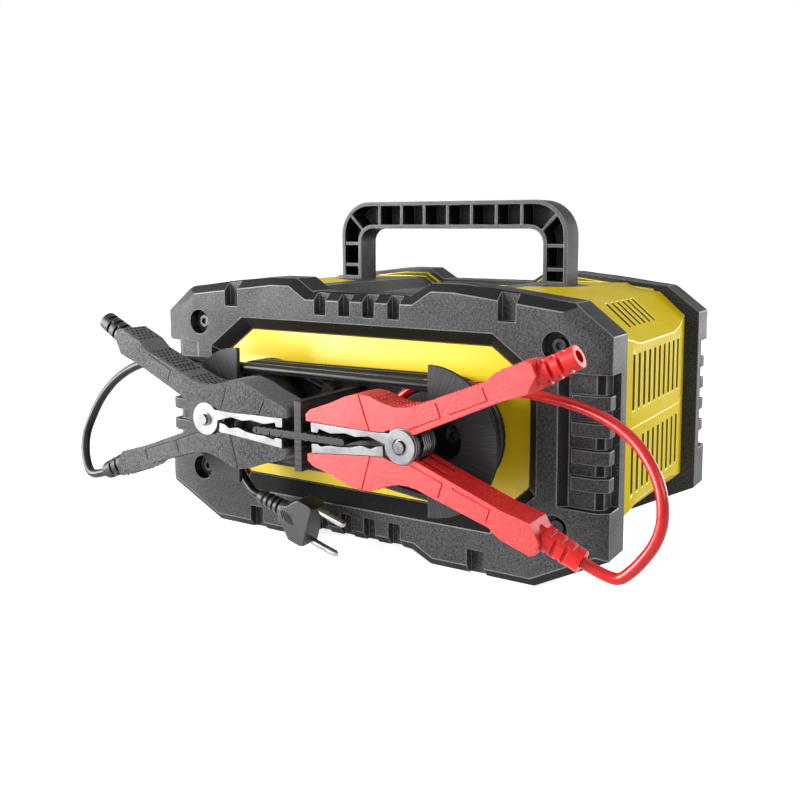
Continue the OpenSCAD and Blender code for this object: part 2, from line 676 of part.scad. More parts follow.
// A point [u, w] of the lower half of a clamp, s = 1 for the red one
function clamp_point(s, u, w) = [s * (pivot_x + u * cos(clamp_tilt) + w * sin(clamp_tilt)), -clamp_y,
    pivot_z + u * sin(clamp_tilt) - w * cos(clamp_tilt)];
function along_boot(s, out) = clamp_point(s, boot_mouth[0] + out * cos(boot_angle),
                                         boot_mouth[1] + out * sin(boot_angle));
red_free = concat([red_path[len(red_path) - 1], red_path[len(red_path) - 1] + [cord_d, 0, 0]], red_route,
                  [along_boot(1, 5), along_boot(1, 0), along_boot(1, -6)]);
black_free = concat([black_path[len(black_path) - 1], black_path[len(black_path) - 1] - [cord_d, 0, 0]],
                    black_route, [along_boot(-1, 5), along_boot(-1, 0), along_boot(-1, -6)]);
relief_tail = [-57, -17, 27.9];
relief_nose = [-38, -17, 22.4];
relief_axis = unit(relief_nose - relief_tail);
mains_free = concat([mains_path[mains_end], mains_path[mains_end] + cord_d * mains_out], mains_route,
                    [relief_tail - cord_d * relief_axis, relief_tail]);
module red_lead() color(red) place() tube(red_free, cord_d, 10);
module black_lead() color(black) place() tube(black_free, cord_d, 10);
module mains_cord() color(black) place() tube(mains_free, cord_d, 10);

// ---- plug ----
plug_tilt = atan2(relief_axis[2], relief_axis[0]);
relief_len = norm(relief_nose - relief_tail);
module plug_place() {
    translate(relief_nose) rotate([0, -plug_tilt, 0]) children();
}
module plug_strain_relief() color(black) place() plug_place() rotate([0, -90, 0]) {
    pitch = 3.8;
    difference() {
        cylinder(r1 = 5, r2 = 4, h = relief_len, $fn = 40);
        for (i = [1 : 4]) translate([0, 0, i * pitch]) rotate_extrude($fn = 40) translate([3.1, -0.7])
            square([4, 1.4]);
    }
}
plug_len = 21;
module plug_body() color(black) place() plug_place() {
    outline = [[0, 5], [4, 6], [7, 9.6], [10, 12.6], [plug_len - 3, 12.6], [plug_len, 11.6]];
    rotate([90, 0, 0]) translate([0, 0, -6.8]) linear_extrude(13.6) polygon(concat(outline,
        [for (i = [len(outline) - 1 : -1 : 0]) [outline[i][0], -outline[i][1]]]));
}
module plug_pins() color(steel) place() plug_place() {
    for (s = [-1, 1]) translate([plug_len + 0.02, 0, s * plug_pitch / 2]) rotate([0, 90, 0]) {
        cylinder(d = plug_pin_d, h = plug_pin_len - 1.5);
        translate([0, 0, plug_pin_len - 1.6]) cylinder(d1 = plug_pin_d, d2 = plug_pin_d - 1.6, h = 1.6);
    }
}

// ---- clamps: local u runs from the nose (negative) to the handles, w is up, v is the depth ----
half_w = clamp_w / 2;
plate_in = half_w - sheet;
ear_in = plate_in - sheet - 0.2;
lever_outline = [[-57, 8.3], [-57, 12], [-54, 14.5], [-42, 18.3], [-32, 22.4], [-24, 24.2], [-18, 23.6],
    [-10, 20.6], [-3, 18.9], [3, 19], [9, 20.3], [17, 23.1], [45.8, 33.4], [51.2, 38], [66, 43.8],
    [68.8, 43], [71, 37.5], [66.5, 28.9], [62, 27.4], [53, 24.8], [20, 11.4], [9, 6.8], [0, 4], [-6, 7.9],
    [-10, 6.2], [-18, 6.2], [-54, 8.2]];
upper_teeth = [[-54, 7.9], [-54, 3], [-50, 2.7], [-48.8, 4.9], [-42, 3.1], [-32.6, 3.9], [-26.5, 2.6],
    [-18.7, 3.5], [-9.8, 0.6], [0, 0.6], [0, 6], [-18, 6]];
lower_teeth = [[-54, 7.9], [-54, 3.2], [-50, 3], [-48.3, 4.2], [-42, 3.1], [-37.6, 3.4], [-30, 3],
    [-23.5, 1.4], [-17.5, 2.7], [-14, 1.1], [-9.8, 0.6], [0, 0.6], [0, 6], [-18, 6]];
module clamp_place(s) {
    translate([s * pivot_x, -clamp_y, pivot_z]) mirror([s > 0 ? 0 : 1, 0, 0]) rotate([0, -clamp_tilt, 0])
        children();
}
module lower_half() {
    mirror([0, 0, 1]) children();
}
module boot_axis_place() {
    translate([boot_root[0], 0, boot_root[1]]) rotate([0, 90 - boot_angle, 0]) children();
}
module lever(grips) {
    difference() {
        prism(lever_outline, -half_w, half_w);
        rod([0, -half_w - 1, 0], jaw_ear_r + 0.2, clamp_w + 2, 64);
        // room for the spring, and for its leg
        rod([0, -ear_in, 0], spring_r + spring_wire / 2 + gap, 2 * ear_in, 64);
        for (v = [-spring_half, spring_half]) bar([0, v - spring_wire, 0], [spring_leg + 2, v + spring_wire, 14]);
        boot_axis_place() translate([0, 0, -0.3]) cylinder(r = boot_r + 0.2, h = 20);
        boot_axis_place() translate([0, 0, -9]) cylinder(r = 4.1, h = 12);
        // grooves across the nose and along the handle
        for (side = [-1, 1]) {
            for (g = grips ? [[[-11, 6.8], [-15.3, 19.2]], [[-38.1, 7.5], [-42, 16.4]],
                              [[28.6, 17.6], [26.4, 24.2]], [[26.4, 24.2], [43, 31]]]
                           : [[[-18, 6], [-24, 24.3]], [[5.3, 8.5], [22.5, 15.4]], [[22.5, 15.4], [19.9, 22.5]],
                              [[27.4, 17.2], [47.1, 24.9]], [[47.1, 24.9], [44.7, 30.8]]])
                groove(g[0], g[1], side);
        }
        // rows of dots that give a finger hold on the handle's top
        if (grips) for (i = [0 : 5]) for (k = [-2 : 2])
            translate([20 + 4.4 * i, 3 * k, 24.3 + 1.8 * i]) rotate([0, -22, 0])
                translate([0, 0, -1]) cylinder(r = 1, h = 4, $fn = 16);
    }
}
module groove(a, b, side) {
    along = b - a;
    translate([a[0], side * half_w, a[1]]) rotate([0, -atan2(along[1], along[0]), 0])
        bar([0, -0.6, -0.35], [norm(along), 0.6, 0.35]);
}
module jaw(teeth, web_out, plate_end, ear_v) {
    difference() {
        union() {
            for (s = [-1, 1]) {
                v0 = s > 0 ? plate_in : -half_w;
                intersection() {
                    prism(teeth, v0, v0 + sheet);
                    bar([-60, -20, -20], [plate_end, 20, 20]);
                }
                e0 = s > 0 ? ear_v : -ear_v - sheet;
                rod([0, e0, 0], jaw_ear_r, sheet, 64);
                intersection() {
                    prism(teeth, e0, e0 + sheet);
                    bar([-14, -20, -20], [0, 20, 20]);
                }
                j0 = s > 0 ? ear_v : -half_w;
                intersection() {
                    prism(teeth, j0, j0 + half_w - ear_v);
                    bar([-14, -20, -20], [plate_end, 20, 20]);
                }
            }
            prism([[-54, web_out[0]], [-18, web_out[1]], [-18, web_out[1] - 1.4], [-54, web_out[0] - 1.4]],
                  -half_w, half_w);
        }
        rod([0, -20, 0], pin_r + fit, 40, 48);
    }
}
module upper_jaw() {
    jaw(upper_teeth, [7.9, 6], -jaw_ear_r + 2, plate_in);
}
module lower_jaw() {
    lower_half() jaw(lower_teeth, [7.9, 6], -jaw_ear_r - 1.5, ear_in);
}
module boot(closed) {
    slot_pitch = (boot_len - 6) / 5;
    difference() {
        union() {
            cylinder(r1 = boot_r, r2 = boot_r - 0.9, h = boot_len);
            translate([0, 0, -8.5]) cylinder(r = 4, h = 9);
        }
        translate([0, 0, -10]) cylinder(r = cord_r + 0.2, h = boot_len + 12);
        // slots that cut in from above and below and from the two sides by turns
        for (i = [0 : 4]) translate([0, 0, 3.2 + i * slot_pitch]) for (a = [0, 180])
            rotate([0, 0, a + 90 * (i % 2)]) translate([3.9, -7, 0]) cube([5, 14, 1.7]);
    }
}
module pivot_pin() {
    rod([0, -half_w - 2.5, 0], pin_r, clamp_w + 5, 48);
    for (v = [-half_w - 0.5, half_w + 0.05]) rod([0, v, 0], pin_r + 0.9, 0.45, 48);
}
spring_r = jaw_ear_r + 0.5;
spring_pitch = spring_wire + 0.45;
spring_half = spring_pitch * (spring_turns + 0.5) / 2;
spring_leg = 20;
spring_steps = 12;
spring_path = concat(
    [for (i = [-1 : spring_steps * (spring_turns + 0.5)]) let (a = 90 + 360 / spring_steps * i)
        [spring_r * cos(a), -spring_half + spring_pitch * i / spring_steps, spring_r * sin(a)]],
    [[spring_leg / 2, spring_half, -spring_r - 1.5], [spring_leg, spring_half, -spring_r - 3]]);
echo(spring_gap = self_gap(spring_path, spring_wire, 6));
module spring() {
    tube(spring_path, spring_wire, 6);
}
module red_upper_lever() color(red) place() clamp_place(1) lever(false);
module red_lower_lever() color(red) place() clamp_place(1) lower_half() lever(false);
module red_upper_jaw() color(steel) place() clamp_place(1) upper_jaw();
module red_lower_jaw() color(steel) place() clamp_place(1) lower_jaw();
module red_pivot_pin() color(steel) place() clamp_place(1) pivot_pin();
module red_spring() color(steel) place() clamp_place(1) spring();
module red_upper_boot() color(red) place() clamp_place(1) boot_axis_place() boot();
module red_lower_boot() color(red) place() clamp_place(1) lower_half() boot_axis_place() boot();
module red_washers() color(steel) place() clamp_place(1) {
    for (v = [-half_w - 1.3, half_w + 0.05]) difference() {
        rod([0, v, 0], 8.4, 1.25, 64);
        rod([0, v - 1, 0], pin_r + 1, 4, 48);
    }
}
module black_upper_lever() color(black) place() clamp_place(-1) lever(true);
module black_lower_lever() color(black) place() clamp_place(-1) lower_half() lever(false);
module black_upper_jaw() color(steel) place() clamp_place(-1) upper_jaw();
module black_lower_jaw() color(steel) place() clamp_place(-1) lower_jaw();
module black_pivot_pin() color(steel) place() clamp_place(-1) pivot_pin();
module black_spring() color(steel) place() clamp_place(-1) spring();
module black_upper_boot() color(black) place() clamp_place(-1) boot_axis_place() boot();
module black_lower_boot() color(black) place() clamp_place(-1) lower_half() boot_axis_place() boot();

// ---- control panel on the rear, drawn from the rear bumper's face ----
panel_y = rim_d;             // face of the rear panel, behind the bumper's face
bezel_t = 2.4;
bezel_z = 78;
display_z = 80;
button_x = 38;
button_z = 78;
rocker_x = -40;
rocker_r = 9;
rocker_w = 12;
rocker_axis = panel_y + 2.5;
rocker_tilt = 8;             // the rocker rests in its off position
module rear_panel() color(yellow) place() rear() difference() {
    panel();
    bar([-54, 0, 59], [54, 20, 97]);
}
module control_panel() color(black) place() rear() {
    difference() {
        prism(both([[56, 103], [62, 97], [62, 59], [56, 53]]), panel_y - bezel_t, panel_y);
        bar([-display_w / 2 - 4, 0, display_z - display_h / 2], [display_w / 2 - 4, 20, display_z + display_h / 2]);
        for (z = [button_z - 8, button_z + 8]) rod([button_x, 0, z], button_r + fit, 20, 48);
        bar([rocker_x - rocker_w / 2 - 0.2, 0, bezel_z - rocker_r - 0.3],
            [rocker_x + rocker_w / 2 + 0.2, 20, bezel_z + rocker_r + 0.3]);
    }
    // cheeks that carry the rocker's stubs
    for (s = [-1, 1]) difference() {
        bar([rocker_x + s * (rocker_w / 2 + 1.3) - 1.1, panel_y - eps, bezel_z - 6],
            [rocker_x + s * (rocker_w / 2 + 1.3) + 1.1, rocker_axis + 5, bezel_z + 6]);
        translate([rocker_x - 20, rocker_axis, bezel_z]) rotate([0, 90, 0]) cylinder(r = 1.5 + fit, h = 40, $fn = 32);
    }
}
module display_lens() color([0.1, 0.12, 0.14]) place() rear()
    bar([-display_w / 2 - 4 + 0.1, panel_y - bezel_t + 0.6, display_z - display_h / 2 + 0.1],
        [display_w / 2 - 4 - 0.1, panel_y, display_z + display_h / 2 - 0.1]);
module display_board() color([0.1, 0.35, 0.2]) place() rear() {
    bar([-display_w / 2 - 1, panel_y + 0.1, display_z - display_h / 2 - 2],
        [display_w / 2 - 7, panel_y + 4.5, display_z + display_h / 2 + 2]);
    difference() {
        bar([-28, panel_y + 4.4, 61], [50, panel_y + 6, 95]);
        for (z = [button_z - 8, button_z + 8]) rod([button_x, 0, z], button_r - 2, 30, 32);
    }
}
module push_button(z) {
    rod([button_x, panel_y - bezel_t - 2.6, z], button_r, 2.6 + bezel_t + 0.2, 48);
    rod([button_x, panel_y + 0.15, z], button_r + 1.2, 1, 48);
    rod([button_x, panel_y + 1, z], 2, 3, 32);
}
module mode_button() color([0.3, 0.32, 0.35]) place() rear() push_button(button_z + 8);
module start_button() color([0.2, 0.55, 0.3]) place() rear() push_button(button_z - 8);
module power_rocker() color([0.7, 0.08, 0.06]) place() rear() translate([rocker_x, rocker_axis, bezel_z])
    rotate([-rocker_tilt, 0, 0]) {
    intersection() {
        translate([-rocker_w / 2, 0, 0]) rotate([0, 90, 0]) cylinder(r = rocker_r, h = rocker_w, $fn = 64);
        rotate([90, 0, 90]) translate([0, 0, -10]) linear_extrude(20)
            polygon([[4, -8], [-8, -8], [-5.4, 0], [-8, 8], [4, 8]]);
    }
    translate([-rocker_w / 2 - 2.2, 0, 0]) rotate([0, 90, 0]) cylinder(r = 1.5, h = rocker_w + 4.4, $fn = 32);
}

// ---- inside ----
board_t = 1.6;
board_top = post_z + board_t;
module circuit_board() color([0.1, 0.4, 0.22]) place() difference() {
    bar([-104, mid_y - 50, post_z], [118, mid_y + 52, board_top]);
    for (p = posts) translate([p[0], p[1], 20]) cylinder(r = 1.8, h = 30);
}
module board_screws() color(steel) place() for (p = posts) translate([p[0], p[1], 0]) {
    translate([0, 0, board_top + 0.02]) cylinder(r = 3.2, h = 2.2);
    translate([0, 0, 17]) cylinder(r = 1.55, h = board_top + 0.5 - 17);
}
core_x = 42;
core_y = mid_y - 7;
module transformer_core() color([0.25, 0.25, 0.27]) place() difference() {
    bar([core_x - 30, core_y - 21, board_top], [core_x + 30, core_y + 21, board_top + 50]);
    for (s = [-1, 1])
        bar([core_x + s * 15 - 6, core_y - 23, board_top + 10],
            [core_x + s * 15 + 6, core_y + 23, board_top + 40]);
}
module transformer_coil() color([0.72, 0.42, 0.16]) place() difference() {
    bar([core_x - 20.6, core_y - 28, board_top + 10.4], [core_x + 20.6, core_y + 28, board_top + 39.6]);
    bar([core_x - 9.2, core_y - 21.2, board_top - 1], [core_x + 9.2, core_y + 21.2, board_top + 60]);
}
module heat_sinks() color([0.7, 0.71, 0.73]) place() for (x = [-62, -20]) {
    bar([x - 3, mid_y - 30, board_top], [x, mid_y + 30, board_top + 40]);
    for (i = [0 : 7]) 
        translate([0, mid_y - 28 + i * 7.8, 0]) bar([x - eps, 0, board_top], [x + 15, 1.6, board_top + 40]);
}
module capacitors() color([0.12, 0.14, 0.2]) place()
    for (p = [[90, -18, 9, 36], [90, 6, 9, 36], [104, 26, 6, 24], [-36, -42, 6, 22], [0, 38, 8, 30]])
        translate([p[0], mid_y + p[1], board_top]) {
            cylinder(r = p[2], h = p[3]);
        }
module fan_frame() color(black) place() translate([fan_x + 1, mid_y, fan_z]) {
    difference() {
        bar([0, -fan_half, -fan_half], [fan_t, fan_half, fan_half]);
        translate([-1, 0, 0]) rotate([0, 90, 0]) cylinder(r = fan_r + 1, h = fan_t + 2, $fn = 96);
    }
    // spider with the bearing tube
    difference() {
        union() {
            for (a = [45, 135]) rotate([a, 0, 0]) bar([0, -fan_r - 2, -1.2], [1.8, fan_r + 2, 1.2]);
            rotate([0, 90, 0]) cylinder(r = 8, h = 1.8);
            rotate([0, 90, 0]) cylinder(r = 3.5, h = 8);
        }
        translate([1.8, 0, 0]) rotate([0, 90, 0]) cylinder(r = 1.5 + fit, h = 10, $fn = 32);
    }
}
module fan_rotor() color([0.2, 0.2, 0.22]) place() translate([fan_x + 1, mid_y, fan_z]) {
    difference() {
        translate([2.4, 0, 0]) rotate([0, 90, 0]) cylinder(r = 10, h = 9.6);
        translate([2, 0, 0]) rotate([0, 90, 0]) cylinder(r = 8.5, h = 8);
    }
    translate([2.2, 0, 0]) rotate([0, 90, 0]) cylinder(r = 1.5, h = 9, $fn = 32);
    for (i = [0 : fan_blades - 1]) rotate([i * 360 / fan_blades, 0, 0])
        translate([7.2, 0, 9.6]) rotate([0, 0, 38]) bar([-5.6, -0.6, 0], [5.6, 0.6, fan_r - 10.2]);
}

front_bumper();
rear_bumper();
front_bumper_screws();
rear_bumper_screws();
front_panel();
rear_panel();
upper_shell();
lower_shell();
top_cap();
handle();
handle_screws();
cable_winder();
winder_screws();
clamp_holder();
lead_glands();
red_upper_lever();
red_lower_lever();
red_upper_jaw();
red_lower_jaw();
red_pivot_pin();
red_spring();
red_upper_boot();
red_lower_boot();
red_washers();
black_upper_lever();
black_lower_lever();
black_upper_jaw();
black_lower_jaw();
black_pivot_pin();
black_spring();
black_upper_boot();
black_lower_boot();
red_winding();
black_winding();
mains_winding();
red_lead();
black_lead();
mains_cord();
plug_strain_relief();
plug_body();
plug_pins();
control_panel();
display_lens();
display_board();
mode_button();
start_button();
power_rocker();
circuit_board();
board_screws();
transformer_core();
transformer_coil();
heat_sinks();
capacitors();
fan_frame();
fan_rotor();
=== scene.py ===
"""The looks of a car battery charger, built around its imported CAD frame.

Row frame, metres: +X to the right seen from the front, +Y from the front to the rear, +Z up.
"""

import json
import math

import bmesh
import bpy
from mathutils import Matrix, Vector


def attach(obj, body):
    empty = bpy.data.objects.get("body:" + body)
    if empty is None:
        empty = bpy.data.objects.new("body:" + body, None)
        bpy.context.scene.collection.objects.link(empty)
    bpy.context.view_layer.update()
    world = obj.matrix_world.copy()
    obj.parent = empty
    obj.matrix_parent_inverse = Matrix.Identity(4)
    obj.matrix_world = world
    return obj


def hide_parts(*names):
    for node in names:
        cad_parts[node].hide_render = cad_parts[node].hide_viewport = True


MM = 0.001
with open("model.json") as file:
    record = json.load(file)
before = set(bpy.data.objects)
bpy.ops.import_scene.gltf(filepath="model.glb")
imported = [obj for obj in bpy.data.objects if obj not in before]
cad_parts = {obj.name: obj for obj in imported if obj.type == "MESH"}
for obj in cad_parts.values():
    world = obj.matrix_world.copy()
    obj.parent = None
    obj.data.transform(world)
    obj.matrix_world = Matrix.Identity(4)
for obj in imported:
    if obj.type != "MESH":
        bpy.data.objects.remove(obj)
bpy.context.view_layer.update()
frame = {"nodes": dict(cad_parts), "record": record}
nodes = frame["nodes"]
scene = bpy.context.scene

# Sizes repeated from the CAD source, in millimetres and degrees. A depth is counted from the front bumper's
# face, negative in front of it.
FRONT_Y = -62.0  # the front bumper's face
CORD_D = 5.4
HUB_X = 61.0  # half distance between the winder's hubs
HUB_Z = 75.4
WIND_R = 28.5  # radius of a cord's middle line round a hub
SLOT_BLACK = -22.5  # depth of each cord on the winder
SLOT_RED = -16.8
SLOT_MAINS = 0.7
MAINS_PITCH = 5.9
MAINS_TURNS = 3
BLACK_START = (-24, 57)  # x and z where a cord comes to the winder
MAINS_START = (-22, 92)
MAINS_LEAVE = 200  # where round the left hub the mains cord leaves it
CLAMP_Y = 44.5  # how far the clamps' middle lies in front of the bumper's face
PIVOT_X = 63.5
PIVOT_Z = 79.2
CLAMP_TILT = 2
BOOT_ANGLE = 26  # of a boot's axis to its lever
BOOT_ROOT = (69.8, 37)  # u and w of the boot's root, from the pivot along the clamp and across it
BOOT_LEN = 20
RELIEF_TAIL = Vector((-57, -17, 27.9))  # ends of the plug's strain relief
RELIEF_NOSE = Vector((-38, -17, 22.4))
RELIEF_AXIS = (RELIEF_NOSE - RELIEF_TAIL).normalized()


def cos_sin(degrees):
    a = math.radians(degrees)
    return math.cos(a), math.sin(a)


# ---------------------------------------------------------------- node graph helpers
class Graph:
    """A material's node tree, with short calls for the nodes that this file uses."""

    def __init__(self, name):
        self.material = bpy.data.materials.new(name)
        self.material.use_nodes = True
        self.tree = self.material.node_tree
        self.shader = self.tree.nodes["Principled BSDF"]
        coordinates = self.tree.nodes.new("ShaderNodeTexCoord")
        self.place = coordinates.outputs["Object"]

    def link(self, a, b):
        self.tree.links.new(a, b)

    def noise(self, scale, detail=2.0, rough=0.5, stretch=None):
        """Noise of so many bumps to the metre; stretch scales it apart along x, y and z."""
        node = self.tree.nodes.new("ShaderNodeTexNoise")
        node.inputs["Scale"].default_value = scale
        node.inputs["Detail"].default_value = detail
        node.inputs["Roughness"].default_value = rough
        self.link(self.stretched(stretch), node.inputs["Vector"])
        return node.outputs["Fac"]

    def stretched(self, stretch):
        if stretch is None:
            return self.place
        node = self.tree.nodes.new("ShaderNodeMapping")
        node.inputs["Scale"].default_value = stretch
        self.link(self.place, node.inputs["Vector"])
        return node.outputs["Vector"]

    def ramp(self, value, low, high, a, b):
        """value from low to high becomes a to b; a and b are numbers or colours."""
        if isinstance(a, tuple):
            node = self.tree.nodes.new("ShaderNodeMix")
            node.data_type = "RGBA"
            self.link(self.ramp(value, low, high, 0.0, 1.0), node.inputs[0])
            node.inputs[6].default_value = (*a, 1)
            node.inputs[7].default_value = (*b, 1)
            return node.outputs[2]
        node = self.tree.nodes.new("ShaderNodeMapRange")
        node.inputs["From Min"].default_value = low
        node.inputs["From Max"].default_value = high
        node.inputs["To Min"].default_value = a
        node.inputs["To Max"].default_value = b
        self.link(value, node.inputs["Value"])
        return node.outputs["Result"]

    def math(self, kind, a, b):
        """A sum, product or the like of two sockets or numbers."""
        node = self.tree.nodes.new("ShaderNodeMath")
        node.operation = kind
        for i, value in enumerate((a, b)):
            if isinstance(value, (int, float)):
                node.inputs[i].default_value = value
            else:
                self.link(value, node.inputs[i])
        return node.outputs[0]

    def bump(self, height, distance):
        """Normals from a height of 0 to 1, which stands for distance in metres."""
        node = self.tree.nodes.new("ShaderNodeBump")
        node.inputs["Distance"].default_value = distance
        node.inputs["Strength"].default_value = 1.0
        self.link(height, node.inputs["Height"])
        return node.outputs["Normal"]

    def set(self, **values):
        """Gives sockets of the shader a value or a link; their names have _ for a space."""
        for name, value in values.items():
            socket = self.shader.inputs[name.replace("_", " ")]
            if isinstance(value, (int, float, tuple)):
                socket.default_value = value
            else:
                self.link(value, socket)
        return self.material


# ---------------------------------------------------------------- materials
NOISE_SPAN = (0.3, 0.7)  # most of a noise lies between these
GRAIN_SHARE = 0.75  # share of the fine grain in a plastic's colour; the rest is broad blotches
GRAIN_MIDDLE = 0.515  # the mixed noise's middle value


def grained_plastic(name, dark, light, rough=0.55, grain=1500, depth=0.00006, specular=0.5, crisp=0.16):
    """Moulded plastic with a spark-eroded grain, paler where it stands up, partly its own tone and partly a
    painted highlight; a low crisp sharpens it.
    """
    g = Graph(name)
    fine = g.noise(grain, 3.0, 0.6)
    broad = g.noise(14, 3.0)
    mixed = g.math("ADD", g.math("MULTIPLY", fine, GRAIN_SHARE), g.math("MULTIPLY", broad, 1 - GRAIN_SHARE))
    # the grain's raised tips are paler: partly the grain's tone, partly a painted highlight on them
    colour = g.ramp(mixed, GRAIN_MIDDLE - crisp, GRAIN_MIDDLE + crisp, dark, light)
    g.set(Base_Color=colour, Roughness=g.ramp(g.noise(60, 2.0), *NOISE_SPAN, rough - 0.05, rough + 0.07),
          Normal=g.bump(fine, depth))
    g.shader.inputs["Specular IOR Level"].default_value = specular
    return g.material


def smooth_plastic(name, dark, light, rough=0.3, coat=0.0, ripple=0.00001):
    """Plainer moulding: a faint flow pattern in the colour and an almost smooth skin."""
    g = Graph(name)
    flow = g.noise(9, 3.0, 0.55)
    skin = g.noise(320, 2.0)
    g.set(Base_Color=g.ramp(flow, *NOISE_SPAN, dark, light),
          Roughness=g.ramp(g.noise(40, 3.0), *NOISE_SPAN, rough - 0.04, rough + 0.05),
          Normal=g.bump(skin, ripple))
    g.shader.inputs["Coat Weight"].default_value = coat
    g.shader.inputs["Coat Roughness"].default_value = 0.12
    return g.material


def turned_plastic(name, dark, light, centre, rough=0.45):
    """Satin moulding with fine streaks that run out from two hubs at x, z = centre and its mirror image."""
    g = Graph(name)
    split = g.tree.nodes.new("ShaderNodeSeparateXYZ")
    g.link(g.place, split.inputs[0])
    across = g.math("SUBTRACT", g.math("ABSOLUTE", split.outputs["X"], 0.0), centre[0])
    angle = g.math("ARCTAN2", g.math("SUBTRACT", split.outputs["Z"], centre[1]), across)
    streak = g.tree.nodes.new("ShaderNodeTexNoise")
    streak.noise_dimensions = "1D"
    streak.inputs["Scale"].default_value = 38.0
    streak.inputs["Detail"].default_value = 4.0
    g.link(angle, streak.inputs["W"])
    lines = streak.outputs["Fac"]
    height = g.math("ADD", g.math("MULTIPLY", lines, 0.6), g.math("MULTIPLY", g.noise(1500, 2.0), 0.4))
    g.set(Base_Color=g.ramp(lines, 0.35, 0.7, dark, light),
          Roughness=g.ramp(lines, *NOISE_SPAN, rough - 0.06, rough + 0.1),
          Normal=g.bump(height, 0.00008))
    g.shader.inputs["Specular IOR Level"].default_value = 0.25
    return g.material


def soft_rubber(name, dark, light, rough=0.5, specular=0.4):
    """Silicone or rubber: a fine skin and a soft sheen."""
    g = Graph(name)
    fine = g.noise(900, 2.0)
    g.set(Base_Color=g.ramp(g.noise(30, 3.0), *NOISE_SPAN, dark, light),
          Roughness=g.ramp(g.noise(80, 2.0), *NOISE_SPAN, rough - 0.05, rough + 0.05),
          Normal=g.bump(fine, 0.00001))
    g.shader.inputs["Specular IOR Level"].default_value = specular
    return g.material


def metal(name, dark, light, rough=0.2, brush=(60, 60, 2500), depth=0.000004):
    """Plated or drawn steel with brush lines along one axis and small smears in the polish."""
    g = Graph(name)
    lines = g.noise(1.0, 3.0, 0.6, stretch=brush)
    smear = g.noise(90, 4.0, 0.6)
    g.set(Base_Color=g.ramp(smear, *NOISE_SPAN, dark, light), Metallic=1.0,
          Roughness=g.ramp(g.math("ADD", g.math("MULTIPLY", lines, 0.5), g.math("MULTIPLY", smear, 0.5)),
                           *NOISE_SPAN, rough - 0.06, rough + 0.1),
          Normal=g.bump(lines, depth))
    return g.material


MATERIALS = {
    "black_plastic": grained_plastic("black_plastic", (0.006, 0.006, 0.007), (0.07, 0.07, 0.072), 0.5,
                                     1100, 0.00026, 0.22, 0.12),
    "handle_black": grained_plastic("handle_black", (0.02, 0.02, 0.021), (0.09, 0.09, 0.092), 0.5, 1200,
                                    0.0001, 0.3),
    "winder_black": turned_plastic("winder_black", (0.01, 0.01, 0.011), (0.04, 0.04, 0.042),
                                   (HUB_X * MM, HUB_Z * MM)),
    "panel_yellow": smooth_plastic("panel_yellow", (0.74, 0.53, 0.005), (0.79, 0.58, 0.008), 0.34, 0.12,
                                   0.000004),
    "shell_yellow": grained_plastic("shell_yellow", (0.6, 0.44, 0.002), (0.72, 0.54, 0.004), 0.45, 1700,
                                    0.00003, 0.05),
    "clamp_red": grained_plastic("clamp_red", (0.36, 0.001, 0.001), (0.9, 0.03, 0.03), 0.42, 1250,
                                 0.0004, 0.62, 0.12),
    "clamp_black": grained_plastic("clamp_black", (0.008, 0.008, 0.009), (0.095, 0.095, 0.098), 0.5, 1250,
                                   0.0004, 0.13, 0.12),
    "boot_red": soft_rubber("boot_red", (0.5, 0.002, 0.002), (0.66, 0.004, 0.004), 0.42),
    "boot_black": soft_rubber("boot_black", (0.005, 0.005, 0.006), (0.014, 0.014, 0.015), 0.42, 0.28),
    "jaw_steel": metal("jaw_steel", (0.13, 0.13, 0.134), (0.23, 0.23, 0.235), 0.4),
    "spring_steel": metal("spring_steel", (0.12, 0.12, 0.125), (0.22, 0.22, 0.23), 0.26),
    # the screws are darkened: painted shade of their deep wells
    "screw_steel": metal("screw_steel", (0.025, 0.025, 0.026), (0.05, 0.05, 0.052), 0.38),
    "cord_red": soft_rubber("cord_red", (0.42, 0.001, 0.002), (0.56, 0.003, 0.004), 0.27),
    "cord_black": soft_rubber("cord_black", (0.005, 0.005, 0.006), (0.012, 0.012, 0.013), 0.3, 0.22),
    "plug_black": grained_plastic("plug_black", (0.012, 0.012, 0.013), (0.032, 0.032, 0.034), 0.42, 1700,
                                  0.00004),
    "plug_metal": metal("plug_metal", (0.34, 0.34, 0.34), (0.46, 0.46, 0.46), 0.14),
    "bezel_black": smooth_plastic("bezel_black", (0.014, 0.014, 0.016), (0.024, 0.024, 0.027), 0.25, 0.4),
    "lens_smoke": smooth_plastic("lens_smoke", (0.008, 0.011, 0.014), (0.012, 0.016, 0.02), 0.08, 1.0, 0.0),
    "display_green": smooth_plastic("display_green", (0.02, 0.11, 0.05), (0.03, 0.16, 0.07), 0.35, 0.3),
    "button_grey": soft_rubber("button_grey", (0.14, 0.145, 0.155), (0.2, 0.205, 0.215), 0.5),
    "button_green": soft_rubber("button_green", (0.02, 0.22, 0.06), (0.03, 0.3, 0.09), 0.5),
    "rocker_red": smooth_plastic("rocker_red", (0.5, 0.01, 0.01), (0.6, 0.016, 0.016), 0.22, 0.6),
    "board_green": smooth_plastic("board_green", (0.015, 0.13, 0.05), (0.025, 0.18, 0.07), 0.35, 0.4),
    "core_iron": metal("core_iron", (0.07, 0.07, 0.075), (0.13, 0.13, 0.135), 0.5, (3000, 8, 8), 0.00004),
    "coil_copper": metal("coil_copper", (0.5, 0.2, 0.06), (0.75, 0.36, 0.14), 0.3, (8, 8, 1600), 0.00008),
    "sink_aluminium": metal("sink_aluminium", (0.6, 0.61, 0.63), (0.74, 0.75, 0.77), 0.35, (8, 8, 900),
                            0.00001),
    "capacitor_sleeve": smooth_plastic("capacitor_sleeve", (0.012, 0.016, 0.05), (0.02, 0.026, 0.08), 0.2,
                                       0.5),
    "fan_black": smooth_plastic("fan_black", (0.014, 0.014, 0.016), (0.03, 0.03, 0.033), 0.4),
}
